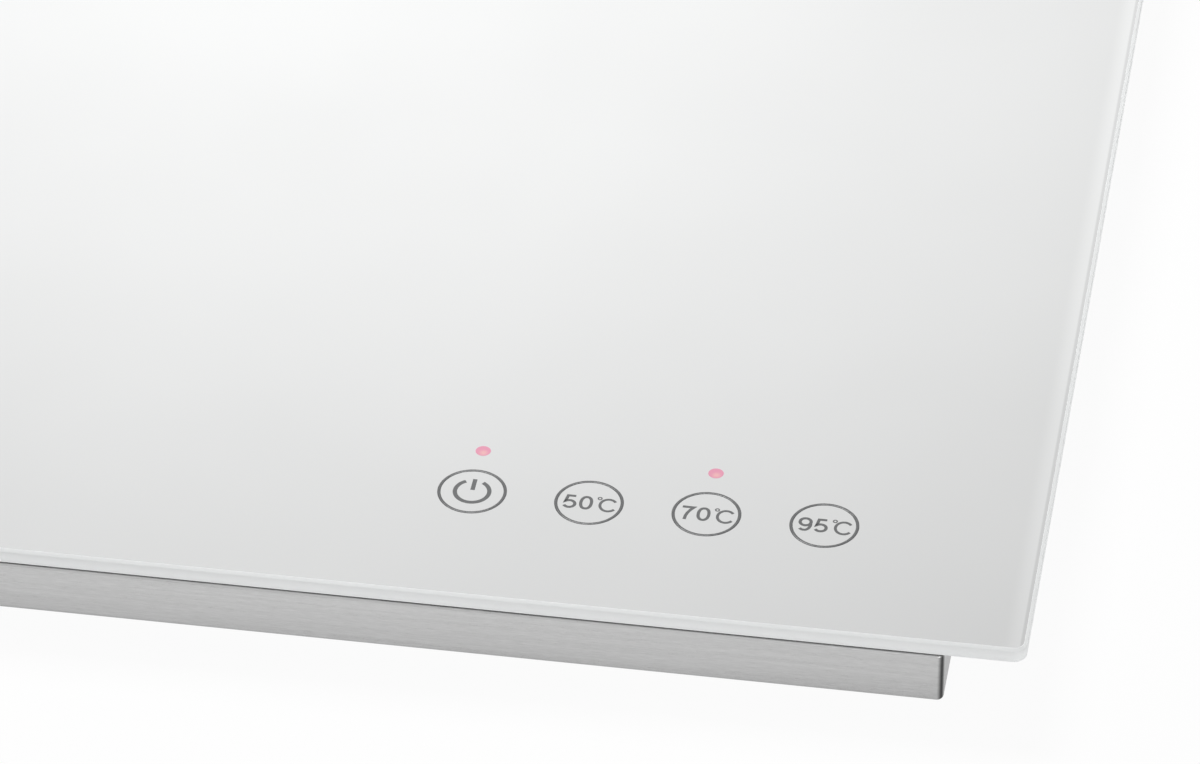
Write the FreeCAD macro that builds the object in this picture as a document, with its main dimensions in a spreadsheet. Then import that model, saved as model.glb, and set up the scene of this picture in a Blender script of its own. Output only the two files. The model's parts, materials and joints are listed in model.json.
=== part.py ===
import FreeCAD, Part
import math
import os
import Sketcher

# Electric food warmer tray: a glass plate on a folded steel casing, heated from below by a long
# insulated heating cable, with touch controls under the glass at the front right.
# Frame: +Z up, front towards -Y, origin on the table under the middle of the glass.

# Driving sizes in millimetres, or plain counts
SIZES = [
    ("glass_width", 600, "glass, left to right"),
    ("glass_depth", 400, "glass, front to back"),
    ("glass_thickness", 5, "toughened glass"),
    ("glass_corner", 4, "corner radius of the glass"),
    ("glass_top_arris", 1, "ground edge round the top"),
    ("glass_bottom_arris", 0.5, "ground edge round the underside"),
    ("seal_thickness", 0.5, "silicone between glass and casing"),
    ("seal_width", 8, "width of the silicone strip"),
    ("seal_recess", 1.2, "silicone kept back from the casing's face"),
    ("side_overhang", 23.6, "glass past the casing at each side, as a grip"),
    ("front_setback", 0.3, "casing behind the glass edge at the front"),
    ("rear_setback", 8, "casing behind the glass edge at the back"),
    ("housing_height", 17.2, "height of the folded casing"),
    ("sheet", 0.8, "casing sheet"),
    ("corner_bend", 2, "outer radius of the upright corners"),
    ("lower_bend", 1.4, "outer radius along the bottom edge"),
    ("upper_bend", 0.9, "outer radius along the top edge"),
    ("top_flange", 12, "flange under the glass"),
    ("bottom_flange", 14, "flange above the base plate"),
    ("mitre_gap", 0.6, "slit where two flanges meet"),
    ("cut_past", 1, "cuts run this far past the face they open"),
    ("base_thickness", 0.8, "base plate sheet"),
    ("base_inset", 4.5, "base plate inside the casing's face"),
    ("base_corner", 5, "corner radius of the base plate"),
    ("bead_depth", 1.6, "stiffening bead pressed downwards"),
    ("bead_width", 24, "width of a bead at the plate"),
    ("bead_corner", 7, "cut corner of a bead"),
    ("bead_length", 420, "length of a bead at the plate"),
    ("bead_pitch", 84, "bead to bead"),
    ("bead_count", 3, "number of beads"),
    ("vent_width", 3, "cooling slot, across"),
    ("vent_corner", 0.9, "cut corner of a cooling slot"),
    ("vent_length", 34, "cooling slot, along"),
    ("vent_pitch", 9, "slot to slot"),
    ("vent_count", 14, "slots in a row"),
    ("vent_start", -66, "left end of the row of slots"),
    ("foot_height", 7, "foot below the base plate"),
    ("foot_top_diameter", 22, "foot at the base plate"),
    ("foot_bottom_diameter", 18, "foot at the table"),
    ("foot_recess_diameter", 9, "recess for the screw head"),
    ("foot_recess_depth", 4, "recess for the screw head"),
    ("foot_edge", 1, "bevel round the foot at the table"),
    ("foot_inset", 24, "foot centre from the casing's face"),
    ("screw_diameter", 3, "base, foot and board screws"),
    ("screw_head_diameter", 5.6, "pan head"),
    ("screw_head_height", 1.8, "pan head"),
    ("head_bevel", 0.6, "bevel round a screw head"),
    ("screw_length", 5, "base screw under its head"),
    ("base_screw_columns", 3, "base screws along the front and the back"),
    ("side_screw_rows", 1, "base screws along each side, between the corners"),
    ("nut_flats", 5.5, "nut across flats"),
    ("nut_height", 2.4, "nut height"),
    ("thread_end", 0.8, "screw past its nut"),
    ("thread_gap", 0.05, "screw in its nut, on the radius"),
    ("pass_gap", 0.2, "screw through a plain hole, on the radius"),
    ("fit_gap", 0.1, "pieces that fit into each other, on the radius"),
    ("touch_gap", 0.1, "bonded or pressed pieces with curved faces"),
    ("gland_inset", 62, "gland from the casing's left face"),
    ("gland_bore", 7.2, "hole for the cord"),
    ("gland_neck", 12, "gland through the wall"),
    ("gland_flange", 14.4, "gland flange outside"),
    ("gland_flange_thickness", 2, "gland flange outside"),
    ("gland_length", 6.5, "gland outside the wall"),
    ("gland_tail", 9, "gland diameter at its outer end"),
    ("gland_inner_length", 7, "gland neck inside the wall"),
    ("gland_nut_flats", 14, "gland nut across flats"),
    ("gland_nut_height", 4, "gland nut"),
    ("control_depth", 84, "front zone, from the casing's face to the heat barrier"),
    ("barrier_thickness", 0.6, "heat barrier sheet"),
    ("barrier_foot", 8, "heat barrier flange on the base plate"),
    ("barrier_gap", 1.5, "heat barrier below the glass"),
    ("barrier_end_gap", 0.5, "heat barrier to the bottom flange at each side"),
    ("barrier_window_height", 9, "window for the leads"),
    ("barrier_sill", 0.5, "window for the leads, above the heat barrier's flange"),
    ("spreader_thickness", 1.2, "aluminium heat spreader"),
    ("spreader_gap", 4, "heat spreader inside the top flange"),
    ("spreader_corner", 12, "corner radius of the heat spreader"),
    ("spreader_front_gap", 6, "heat spreader behind the heat barrier"),
    ("cable_diameter", 2.8, "heating cable"),
    ("cable_rows", 12, "rows of heating cable"),
    ("cable_pitch", 24, "row to row"),
    ("cable_margin", 11.7, "first row behind the front of the spreader"),
    ("cable_reach", 242, "cable turns, from the middle"),
    ("tail_gap", 12, "between the cable's two tails"),
    ("tail_shift", 2, "inner tail inside the cable's turns"),
    ("tail_front", 5.3, "inner tail in front of the heat barrier"),
    ("tail_row", 6, "tail to tail in the front zone"),
    ("tail_run", 14, "tail along the front zone before its crimp"),
    ("foil_thickness", 0.2, "foil under the heating cable"),
    ("foil_inset", 3, "foil inside the heat spreader"),
    ("foil_left_inset", 11, "foil inside the heat spreader at the cable's tails"),
    ("foil_window_gap", 1, "foil window round what it leaves free"),
    ("channel_width", 46, "channel in the mat for the sensors"),
    ("channel_x", 60, "middle of the channel"),
    ("channel_length", 170, "channel from the front of the mat"),
    ("mat_inset", 2.4, "mat inside the spreader's sides"),
    ("mat_gap", 1, "mat behind the heat barrier's flange"),
    ("mat_notch", 26, "mat corner left out over the rear feet"),
    ("crimp_diameter", 4.4, "crimp barrel"),
    ("crimp_length", 14, "crimp barrel"),
    ("crimp_grip", 5, "wire inside the crimp barrel"),
    ("lead_diameter", 2.4, "mains lead inside"),
    ("thin_lead_diameter", 1.8, "lead of the cut-out, fuse and sensor"),
    ("lead_bend", 5, "bend radius of a lead"),
    ("thin_lead_bend", 3, "bend radius of a thin lead"),
    ("lead_clearance", 12, "leads turn this far outside the terminal block"),
    ("lead_in", 3, "lead inside a terminal, plug or sensor"),
    ("lead_level", 3.3, "thin leads above the foot of the cut-out's terminals"),
    ("sensor_lead_level", 2.4, "sensor lead above the base plate"),
    ("sensor_lead_loop", 5, "sensor lead past the sensor"),
    ("fuse_loop", 4.5, "leads past the thermal fuse"),
    ("link_turn", 20, "link lead turns this far behind the thermal fuse"),
    ("signal_lead_diameter", 2.2, "lead between the boards"),
    ("signal_rise", 3.4, "signal lead over the board screw"),
    ("signal_start", 1, "signal lead level in front of the power plug"),
    ("signal_climb", 8, "length of the signal lead's climb"),
    ("signal_past", 10, "signal lead stays high past the power board"),
    ("plug_run", 20, "lead level in front of a plug"),
    ("cutout_row", 5, "cable row in front of the cut-out"),
    ("cap_diameter", 15.6, "cut-out cap"),
    ("cap_height", 4.2, "cut-out cap"),
    ("cap_wall", 0.5, "cut-out cap"),
    ("rim_diameter", 17.4, "cut-out cap rim"),
    ("disc_diameter", 14, "snap disc"),
    ("disc_thickness", 0.25, "snap disc"),
    ("disc_rise", 0.5, "snap disc, middle above rim"),
    ("disc_seat", 1.55, "snap disc rim below the cap's face"),
    ("guide_top", 2, "pin guide below the cap's face"),
    ("guide_thickness", 1, "pin guide"),
    ("guide_lip", 0.4, "lip that carries the disc"),
    ("guide_lip_width", 1, "lip that carries the disc"),
    ("pin_diameter", 2, "transfer pin"),
    ("pin_fit", 0.05, "pin in its guide, on the radius"),
    ("pin_point", 0.8, "cone at the contact arm's end of the pin"),
    ("pin_gap", 0.05, "pin to contact arm when cold"),
    ("case_diameter", 14.4, "cut-out case"),
    ("case_height", 5.6, "cut-out case"),
    ("chamber_depth", 4.2, "contact chamber"),
    ("chamber_length", 11.6, "contact chamber"),
    ("chamber_width", 5, "contact chamber"),
    ("chamber_corner", 0.4, "contact chamber"),
    ("arm_level", 4.3, "top of the contact arm below the cap's face"),
    ("arm_pivot", 3.5, "contact arm pivot from the pin"),
    ("arm_tip", 4.6, "contact arm tip from the pin"),
    ("arm_width", 3.2, "contact arm"),
    ("arm_thickness", 0.25, "contact arm"),
    ("arm_clamp_gap", 0.1, "contact arm to its clamped root"),
    ("contact_x", 3.4, "contact from the pin"),
    ("contact_diameter", 2.2, "contact button"),
    ("contact_height", 0.5, "contact button under the arm"),
    ("contact_gap", 0.02, "closed contact"),
    ("fixed_contact_height", 0.3, "fixed contact"),
    ("fixed_contact_diameter", 2, "fixed contact"),
    ("terminal_width", 4, "cut-out terminal"),
    ("terminal_thickness", 0.8, "cut-out terminal"),
    ("terminal_x", 5.6, "outer face of a terminal from the pin"),
    ("terminal_length", 5.6, "terminal below the case"),
    ("bracket_length", 33, "cut-out bracket"),
    ("bracket_width", 19, "cut-out bracket"),
    ("bracket_thickness", 0.8, "cut-out bracket"),
    ("stud_pitch", 25, "weld studs of the cut-out"),
    ("stud_length", 9, "weld studs"),
    ("stud_point", 0.4, "bevel at the end of a weld stud"),
    ("sensor_row", 3, "cable row in front of the sensor"),
    ("sensor_length", 14, "temperature sensor"),
    ("sensor_width", 5, "temperature sensor"),
    ("sensor_height", 4.4, "temperature sensor"),
    ("sensor_chamfer", 1.2, "temperature sensor, lower edges"),
    ("fuse_row", 1, "cable row in front of the thermal fuse"),
    ("fuse_diameter", 4, "thermal fuse"),
    ("fuse_length", 11, "thermal fuse"),
    ("fuse_wire", 1, "thermal fuse wire"),
    ("fuse_wire_length", 8, "thermal fuse wire"),
    ("clip_thickness", 0.4, "fuse clip"),
    ("clip_width", 5, "fuse clip"),
    ("clip_ear", 3.5, "fuse clip flange"),
    ("button_count", 4, "touch marks"),
    ("button_pitch", 35, "touch mark to touch mark"),
    ("button_setback", 47.7, "touch marks behind the glass edge"),
    ("button_inset", 65, "last touch mark from the glass side"),
    ("lamp_offset", 19.3, "lamps behind the touch marks"),
    ("board_thickness", 1.6, "circuit boards"),
    ("board_corner", 2, "circuit board corner radius"),
    ("touch_height", 7, "touch board below the glass"),
    ("touch_end_margin", 10.5, "touch board past the end marks"),
    ("touch_front_margin", 25, "touch board in front of the marks"),
    ("touch_rear_margin", 10, "touch board behind the lamps"),
    ("board_screw_inset", 5, "board screws from the board's edges"),
    ("board_screw_diameter", 2.5, "board screws"),
    ("board_head_diameter", 4.6, "board screws"),
    ("board_head_height", 1.6, "board screws"),
    ("carrier_margin", 1.5, "carrier outside the touch board"),
    ("carrier_wall", 1.6, "carrier wall"),
    ("carrier_floor", 1.4, "carrier floor"),
    ("boss_diameter", 7, "screw boss"),
    ("spring_diameter", 9, "touch spring"),
    ("spring_wire", 0.7, "touch spring wire"),
    ("spring_turns", 2, "turns of a touch spring"),
    ("lamp_diameter", 3, "indicator lamp"),
    ("lamp_body_height", 2, "indicator lamp below its dome"),
    ("lamp_base_diameter", 3.8, "indicator lamp collar"),
    ("lamp_base_height", 0.8, "indicator lamp collar"),
    ("lamp_bevel", 0.8, "bevel round the lens of an indicator lamp"),
    ("shroud_bore", 4.5, "light well"),
    ("shroud_wall", 0.9, "light well"),
    ("shroud_bar_height", 2, "bar that joins the light wells"),
    ("shroud_bar_width", 2.4, "bar that joins the light wells"),
    ("shroud_glass_gap", 0.3, "light wells below the glass"),
    ("chip_length", 10, "touch controller"),
    ("chip_width", 4, "touch controller"),
    ("chip_height", 1.5, "touch controller"),
    ("chip_lift", 0.1, "touch controller above the board"),
    ("chip_leg_thickness", 0.25, "touch controller leg"),
    ("chip_leg_width", 0.5, "touch controller leg"),
    ("chip_leg_reach", 1.2, "touch controller leg"),
    ("chip_leg_pitch", 1.27, "touch controller leg to leg"),
    ("chip_legs", 7, "legs a side"),
    ("plug_length", 6, "plug on a board"),
    ("plug_width", 6, "plug on a board"),
    ("plug_height", 4.4, "plug on a board"),
    ("plug_corner", 0.5, "plug on a board, cut corners"),
    ("plug_edge", 1.5, "plug from the touch board's left edge"),
    ("signal_plug_y", -10.5, "touch plug from the touch marks"),
    ("sensor_plug_y", 9.3, "sensor plug from the touch marks"),
    ("power_plug_x", 20, "power plug from the power board's right edge"),
    ("power_plug_y", 5, "power plug from the power board's front edge"),
    ("power_x", -125, "middle of the power board"),
    ("power_width", 150, "power board"),
    ("power_depth", 56, "power board"),
    ("standoff_height", 4, "standoff"),
    ("standoff_flats", 5.5, "standoff across flats"),
    ("core_x", -25, "transformer from the middle of the power board"),
    ("core_length", 20, "transformer core"),
    ("core_depth", 10, "transformer core"),
    ("core_height", 9.6, "transformer core"),
    ("core_limb", 2.6, "transformer core limb"),
    ("winding_overhang", 3.5, "winding past the core"),
    ("winding_gap", 0.3, "winding inside the core"),
    ("winding_corner", 2, "winding, cut corners"),
    ("x_capacitor_x", -61, "filter capacitor from the middle of the power board"),
    ("x_capacitor_y", 9, "filter capacitor from the middle of the power board"),
    ("x_capacitor_length", 18, "filter capacitor"),
    ("x_capacitor_width", 8, "filter capacitor"),
    ("x_capacitor_height", 10, "filter capacitor"),
    ("x_capacitor_corner", 0.8, "filter capacitor, cut corners"),
    ("can_x", 4, "bulk capacitor from the middle of the power board"),
    ("can_diameter", 9, "bulk capacitor"),
    ("can_length", 18, "bulk capacitor"),
    ("can_edge", 0.6, "bevelled edge of the bulk capacitor"),
    ("can_groove", 0.5, "depth of the bulk capacitor's crimped groove"),
    ("can_groove_start", 2, "groove behind the end of the bulk capacitor"),
    ("sink_x", 34, "heat sink from the middle of the power board"),
    ("sink_y", 8, "heat sink from the middle of the power board"),
    ("sink_width", 32, "heat sink"),
    ("sink_depth", 20, "heat sink"),
    ("sink_base", 2, "heat sink"),
    ("sink_height", 10, "heat sink"),
    ("sink_fin", 1.2, "heat sink fin"),
    ("sink_fin_pitch", 3.2, "heat sink fin to fin"),
    ("triac_width", 10, "triac"),
    ("triac_body", 9, "triac body length"),
    ("triac_tab", 6, "triac tab length"),
    ("triac_tab_thickness", 1.3, "triac tab"),
    ("triac_height", 4.4, "triac body"),
    ("triac_leg", 0.8, "triac leg"),
    ("triac_leg_length", 5, "triac leg"),
    ("triac_leg_pitch", 2.54, "triac leg to leg"),
    ("mains_fuse_x", -52, "mains fuse from the middle of the power board"),
    ("mains_fuse_y", -18, "mains fuse from the middle of the power board"),
    ("fuse_tube_diameter", 5.2, "mains fuse glass"),
    ("fuse_tube_length", 20, "mains fuse"),
    ("fuse_end_length", 5, "mains fuse end cap"),
    ("fuse_end_wall", 0.4, "mains fuse end cap past the glass"),
    ("holder_width", 6.8, "fuse holder clip"),
    ("holder_depth", 4, "fuse holder clip"),
    ("holder_height", 6.5, "fuse holder clip"),
    ("holder_wall", 0.4, "fuse holder clip"),
    ("holder_mouth", 4, "mouth of a fuse holder clip"),
    ("block_ways", 4, "terminal block ways"),
    ("block_pitch", 8, "terminal block way to way"),
    ("block_depth", 10, "terminal block"),
    ("block_edge", 4, "terminal block from the power board's right edge"),
    ("block_height", 10, "terminal block"),
    ("block_entry", 5, "wire entry, square"),
    ("block_entry_level", 1.5, "wire entry above the board"),
    ("block_entry_depth", 6, "wire entry"),
    ("block_screw_diameter", 4, "terminal screw"),
    ("block_screw_depth", 2.5, "terminal screw well"),
    ("block_screw_recess", 1, "terminal screw below the block's top"),
    ("block_bevel", 0.8, "terminal block, edge above the wire entries"),
    ("earth_x", -226, "earth stud"),
    ("earth_y", 10, "earth stud behind the power board's front edge"),
    ("earth_stud_diameter", 4, "earth stud"),
    ("earth_stud_length", 9, "earth stud"),
    ("earth_nut_flats", 7, "earth nut"),
    ("earth_nut_height", 3.2, "earth nut"),
]

# Worked-out places, in the order in which they build on each other
PLACES = [
    ("base_under", "Sizes.foot_height"),
    ("base_top", "base_under + Sizes.base_thickness"),
    ("housing_top", "base_top + Sizes.housing_height"),
    ("glass_under", "housing_top + Sizes.seal_thickness"),
    ("glass_half", "Sizes.glass_width / 2"),
    ("glass_front", "-Sizes.glass_depth / 2"),
    ("glass_rear", "Sizes.glass_depth / 2"),
    ("side", "glass_half - Sizes.side_overhang"),
    ("front", "glass_front + Sizes.front_setback"),
    ("rear", "glass_rear - Sizes.rear_setback"),
    ("barrier", "front + Sizes.control_depth"),
    ("spreader_side", "side - Sizes.top_flange - Sizes.spreader_gap"),
    ("spreader_front", "barrier + Sizes.spreader_front_gap"),
    ("spreader_rear", "rear - Sizes.top_flange - Sizes.spreader_gap"),
    ("spreader_under", "glass_under - Sizes.spreader_thickness"),
    ("cable_level", "spreader_under - Sizes.touch_gap - Sizes.cable_diameter / 2"),
    ("foil_top", "cable_level - Sizes.cable_diameter / 2 - Sizes.touch_gap"),
    ("mat_top", "foil_top - Sizes.foil_thickness"),
    ("mat_front", "barrier + Sizes.barrier_thickness + Sizes.barrier_foot + Sizes.mat_gap"),
    ("first_row", "spreader_front + Sizes.cable_margin"),
    ("cutout_y", "first_row + (Sizes.cutout_row + 0.5) * Sizes.cable_pitch"),
    ("sensor_y", "first_row + (Sizes.sensor_row + 0.5) * Sizes.cable_pitch"),
    ("fuse_y", "first_row + (Sizes.fuse_row + 0.5) * Sizes.cable_pitch"),
    ("bracket_top", "spreader_under - Sizes.cap_height"),
    ("fuse_level", "spreader_under - Sizes.touch_gap - Sizes.fuse_diameter / 2"),
    ("fuse_span", "Sizes.fuse_length + 2 * (Sizes.fuse_wire_length + Sizes.fuse_loop)"
                  " + Sizes.lead_diameter"),
    ("clip_span", "Sizes.fuse_diameter + 2 * (Sizes.fit_gap + Sizes.clip_thickness + Sizes.clip_ear)"),
    ("last_button", "glass_half - Sizes.button_inset"),
    ("first_button", "last_button - (Sizes.button_count - 1) * Sizes.button_pitch"),
    ("button_row", "glass_front + Sizes.button_setback"),
    ("lamp_row", "button_row + Sizes.lamp_offset"),
    ("touch_top", "glass_under - Sizes.touch_height"),
    ("touch_left", "first_button - Sizes.touch_end_margin"),
    ("touch_right", "last_button + Sizes.touch_end_margin"),
    ("touch_front", "button_row - Sizes.touch_front_margin"),
    ("touch_rear", "lamp_row + Sizes.touch_rear_margin"),
    ("power_left", "Sizes.power_x - Sizes.power_width / 2"),
    ("power_right", "Sizes.power_x + Sizes.power_width / 2"),
    ("power_y", "(front + barrier) / 2"),
    ("power_front", "power_y - Sizes.power_depth / 2"),
    ("power_rear", "power_y + Sizes.power_depth / 2"),
    ("power_top", "base_top + Sizes.standoff_height + Sizes.board_thickness"),
    ("block_front", "power_right - Sizes.block_edge"),
    ("block_y", "power_y"),
    ("entry_level", "power_top + Sizes.block_entry_level + Sizes.block_entry / 2"),
    ("plug_face", "touch_left + Sizes.plug_edge"),
    ("plug_level", "touch_top + Sizes.plug_height / 2"),
    ("terminal_foot", "spreader_under - Sizes.guide_top - Sizes.guide_thickness - Sizes.case_height"
                      " - Sizes.terminal_length"),
    ("foot_x", "side - Sizes.foot_inset"),
    ("foot_front", "front + Sizes.foot_inset"),
    ("foot_rear", "rear - Sizes.foot_inset"),
    ("gland_x", "-side + Sizes.gland_inset"),
    ("gland_level", "base_top + Sizes.housing_height / 2"),
    ("tail_inner", "-Sizes.cable_reach + Sizes.tail_shift"),
    ("tail_outer", "tail_inner - Sizes.tail_gap"),
    ("inner_tail_y", "barrier - Sizes.tail_front"),
    ("outer_tail_y", "inner_tail_y - Sizes.tail_row"),
    ("tail_end", "tail_inner + Sizes.tail_run"),
]

# Sides of the section of a lead, cable or spring wire, straight runs in a quarter bend of it, and
# sides of small round pieces and holes that repeat or lie inside
SECTION_SIDES = 6
BEND_RUNS = 3
RING_SIDES = 10
FOOT_SIDES = 24

document = FreeCAD.newDocument("food_warmer_tray")
sizes = document.addObject("Spreadsheet::Sheet", "Sizes")
places = document.addObject("Spreadsheet::Sheet", "Places")
sub_parts = []


def fill_sheets():
    for row, (alias, size, note) in enumerate(SIZES, 1):
        sizes.set(f"A{row}", alias)
        sizes.set(f"B{row}", str(size))
        sizes.set(f"C{row}", note)
        sizes.setAlias(f"B{row}", alias)
    for row, (alias, formula) in enumerate(PLACES, 1):
        places.set(f"A{row}", alias)
        places.set(f"B{row}", f"={formula}")
        places.setAlias(f"B{row}", alias)
    document.recompute()


def number(expression):
    return float(sizes.evalExpression(str(expression)))


def new_body(label, x="0", y="0", z="0"):
    body = document.addObject("PartDesign::Body", label)
    body.Label = label
    body.setExpression("Placement.Base.x", x)
    body.setExpression("Placement.Base.y", y)
    body.setExpression("Placement.Base.z", z)
    sub_parts.append(body)
    return body


def origin_feature(body, role):
    return next(feature for feature in body.Origin.OriginFeatures if feature.Role == role)


class Outline:
    """A sketch on a plane of its own body, with each point bound to the sheets."""

    def __init__(self, body, name, plane="XY_Plane", level="0"):
        self.sketch = body.newObject("Sketcher::SketchObject", name)
        self.sketch.AttachmentSupport = [(origin_feature(body, plane), "")]
        self.sketch.MapMode = "FlatFace"
        self.sketch.setExpression("AttachmentOffset.Base.z", level)

    def bind(self, dimensions):
        """Adds dimensions, each with its kind, what it measures and its formula."""
        constraints = [Sketcher.Constraint(kind, *place, number(formula))
                       for kind, place, formula in dimensions]
        indices = self.sketch.addConstraint(constraints)
        for index, (_, _, formula) in zip(indices, dimensions):
            self.sketch.setExpression(f"Constraints[{index}]", formula)

    def polygon(self, points):
        corners = [FreeCAD.Vector(number(x), number(y), 0) for x, y in points]
        count = len(points)
        runs = [Part.LineSegment(corners[index], corners[(index + 1) % count]) for index in range(count)]
        lines = self.sketch.addGeometry(runs, False)
        self.sketch.addConstraint([Sketcher.Constraint("Coincident", lines[index], 2,
                                                       lines[(index + 1) % count], 1)
                                   for index in range(count)])
        dimensions = []
        for line, (x, y) in zip(lines, points):
            dimensions.append(("DistanceX", (-1, 1, line, 1), x))
            dimensions.append(("DistanceY", (-1, 1, line, 1), y))
        self.bind(dimensions)

    def circle(self, x, y, diameter):
        centre = FreeCAD.Vector(number(x), number(y), 0)
        circle = Part.Circle(centre, FreeCAD.Vector(0, 0, 1), number(diameter) / 2)
        index = self.sketch.addGeometry(circle, False)
        self.bind([("DistanceX", (-1, 1, index, 3), x), ("DistanceY", (-1, 1, index, 3), y),
                   ("Diameter", (index,), diameter)])

    def ring(self, x, y, diameter, sides=RING_SIDES):
        """A many-sided circle for small round forms."""
        radius = f"({diameter}) / 2"
        turns = [360 * index / sides for index in range(sides)]
        self.polygon([(f"{x} + {radius} * cos({turn} deg)", f"{y} + {radius} * sin({turn} deg)")
                      for turn in turns])

    def hexagon(self, x, y, flats):
        reach = f"({flats}) / sqrt(3)"
        angles = range(0, 360, 60)
        self.polygon([(f"{x} + {reach} * cos({angle} deg)", f"{y} + {reach} * sin({angle} deg)")
                      for angle in angles])

    def rectangle(self, x_low, y_low, x_high, y_high):
        self.polygon([(x_low, y_low), (x_high, y_low), (x_high, y_high), (x_low, y_high)])

    def cut_cornered(self, x_low, y_low, x_high, y_high, cut):
        self.polygon([(f"{x_low} + {cut}", y_low), (f"{x_high} - {cut}", y_low),
                      (x_high, f"{y_low} + {cut}"), (x_high, f"{y_high} - {cut}"),
                      (f"{x_high} - {cut}", y_high), (f"{x_low} + {cut}", y_high),
                      (x_low, f"{y_high} - {cut}"), (x_low, f"{y_low} + {cut}")])

    def rounded(self, x_low, y_low, x_high, y_high, radius):
        corners = [(f"{x_high} - ({radius})", f"{y_low} + ({radius})", -90),
                   (f"{x_high} - ({radius})", f"{y_high} - ({radius})", 0),
                   (f"{x_low} + ({radius})", f"{y_high} - ({radius})", 90),
                   (f"{x_low} + ({radius})", f"{y_low} + ({radius})", 180)]
        size = number(radius)
        arcs = []
        for x, y, start in corners:
            circle = Part.Circle(FreeCAD.Vector(number(x), number(y), 0), FreeCAD.Vector(0, 0, 1), size)
            arc = Part.ArcOfCircle(circle, math.radians(start), math.radians(start + 90))
            arcs.append(self.sketch.addGeometry(arc, False))
        for index in range(4):
            here = arcs[index]
            after = arcs[(index + 1) % 4]
            run = Part.LineSegment(self.sketch.getPoint(here, 2), self.sketch.getPoint(after, 1))
            line = self.sketch.addGeometry(run, False)
            self.sketch.addConstraint([Sketcher.Constraint("Tangent", here, 2, line, 1),
                                       Sketcher.Constraint("Tangent", line, 2, after, 1)])
        for arc, (x, y, start) in zip(arcs, corners):
            self.bind([("DistanceX", (-1, 1, arc, 3), x), ("DistanceY", (-1, 1, arc, 3), y),
                       ("Radius", (arc,), radius)])


def finish_feature(body, feature):
    document.recompute()
    body.Tip = feature
    document.recompute()
    return feature


def pad(body, outline, length, name, down=False, middle=False, taper=0):
    feature = body.newObject("PartDesign::Pad", name)
    feature.Profile = outline.sketch
    feature.setExpression("Length", length)
    feature.Reversed = down
    feature.SideType = "Symmetric" if middle else "One side"
    feature.TaperAngle = taper
    return finish_feature(body, feature)


def check_cut(before, feature):
    if feature.Shape.Volume >= before - 1e-6:
        raise RuntimeError(f"{feature.Name} cuts nothing")
    return feature


def pocket(body, outline, length, name, up=False, middle=False, taper=0):
    before = body.Shape.Volume
    feature = body.newObject("PartDesign::Pocket", name)
    feature.Profile = outline.sketch
    feature.setExpression("Length", length)
    feature.Reversed = up
    feature.SideType = "Symmetric" if middle else "One side"
    feature.TaperAngle = taper
    return check_cut(before, finish_feature(body, feature))


def turned(body, outline, name):
    feature = body.newObject("PartDesign::Revolution", name)
    feature.Profile = outline.sketch
    feature.ReferenceAxis = (outline.sketch, ["V_Axis"])
    feature.Angle = 360
    return finish_feature(body, feature)


def row_of(body, feature, name, axis, count, pitch):
    pattern = body.newObject("PartDesign::LinearPattern", name)
    pattern.Originals = [feature]
    pattern.Direction = (origin_feature(body, axis), [""])
    pattern.setExpression("Occurrences", count)
    pattern.setExpression("Length", f"({count} - 1) * {pitch}")
    return finish_feature(body, pattern)


def eased(body, kind, name, size, wanted):
    """Fillets or chamfers the edges of the body so far that the test picks."""
    base = body.Tip
    picked = [f"Edge{index}" for index, edge in enumerate(base.Shape.Edges, 1) if wanted(edge)]
    feature = body.newObject(f"PartDesign::{kind}", name)
    feature.Base = (base, picked)
    feature.setExpression("Size" if kind == "Chamfer" else "Radius", size)
    return finish_feature(body, feature)


def level_with(level, inner=None):
    """Picks edges that lie all round at one height, outside a given inner half width if any."""
    height = number(level)

    def wanted(edge):
        box = edge.BoundBox
        flat = abs(box.ZMin - height) < 1e-5 and abs(box.ZMax - height) < 1e-5
        return flat and (inner is None or max(abs(box.XMin), abs(box.XMax)) > number(inner))

    return wanted


def plate(label, x_low, y_low, x_high, y_high, radius, thickness, level):
    body = new_body(label, z=level)
    outline = Outline(body, f"{label}_outline")
    outline.rounded(x_low, y_low, x_high, y_high, radius)
    pad(body, outline, thickness, f"{label}_sheet")
    return body


def holes(body, spots, diameter, depth, name, level="0", up=True):
    outline = Outline(body, f"{name}_outline", level=level)
    for x, y in spots:
        outline.ring(x, y, diameter)
    return pocket(body, outline, depth, name, up=up)


def screws(label, spots, seat, head, head_height, shank, shank_length, head_up):
    """A group of pan-head screws whose heads rest on one level."""
    body = new_body(label, z=seat)
    heads = Outline(body, f"{label}_head_outline")
    shanks = Outline(body, f"{label}_shank_outline")
    for x, y in spots:
        heads.ring(x, y, head)
        shanks.ring(x, y, shank)
    pad(body, heads, head_height, f"{label}_heads", down=not head_up)
    pad(body, shanks, shank_length, f"{label}_shanks", down=head_up)
    crown = head_height if head_up else f"-{head_height}"
    eased(body, "Chamfer", f"{label}_crowns", "Sizes.head_bevel", level_with(crown))
    return body


def nuts(label, spots, level, flats, height, bore):
    body = new_body(label, z=level)
    outline = Outline(body, f"{label}_outline")
    for x, y in spots:
        outline.hexagon(x, y, flats)
        outline.ring(x, y, bore)
    pad(body, outline, height, f"{label}_bodies")
    return body


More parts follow.
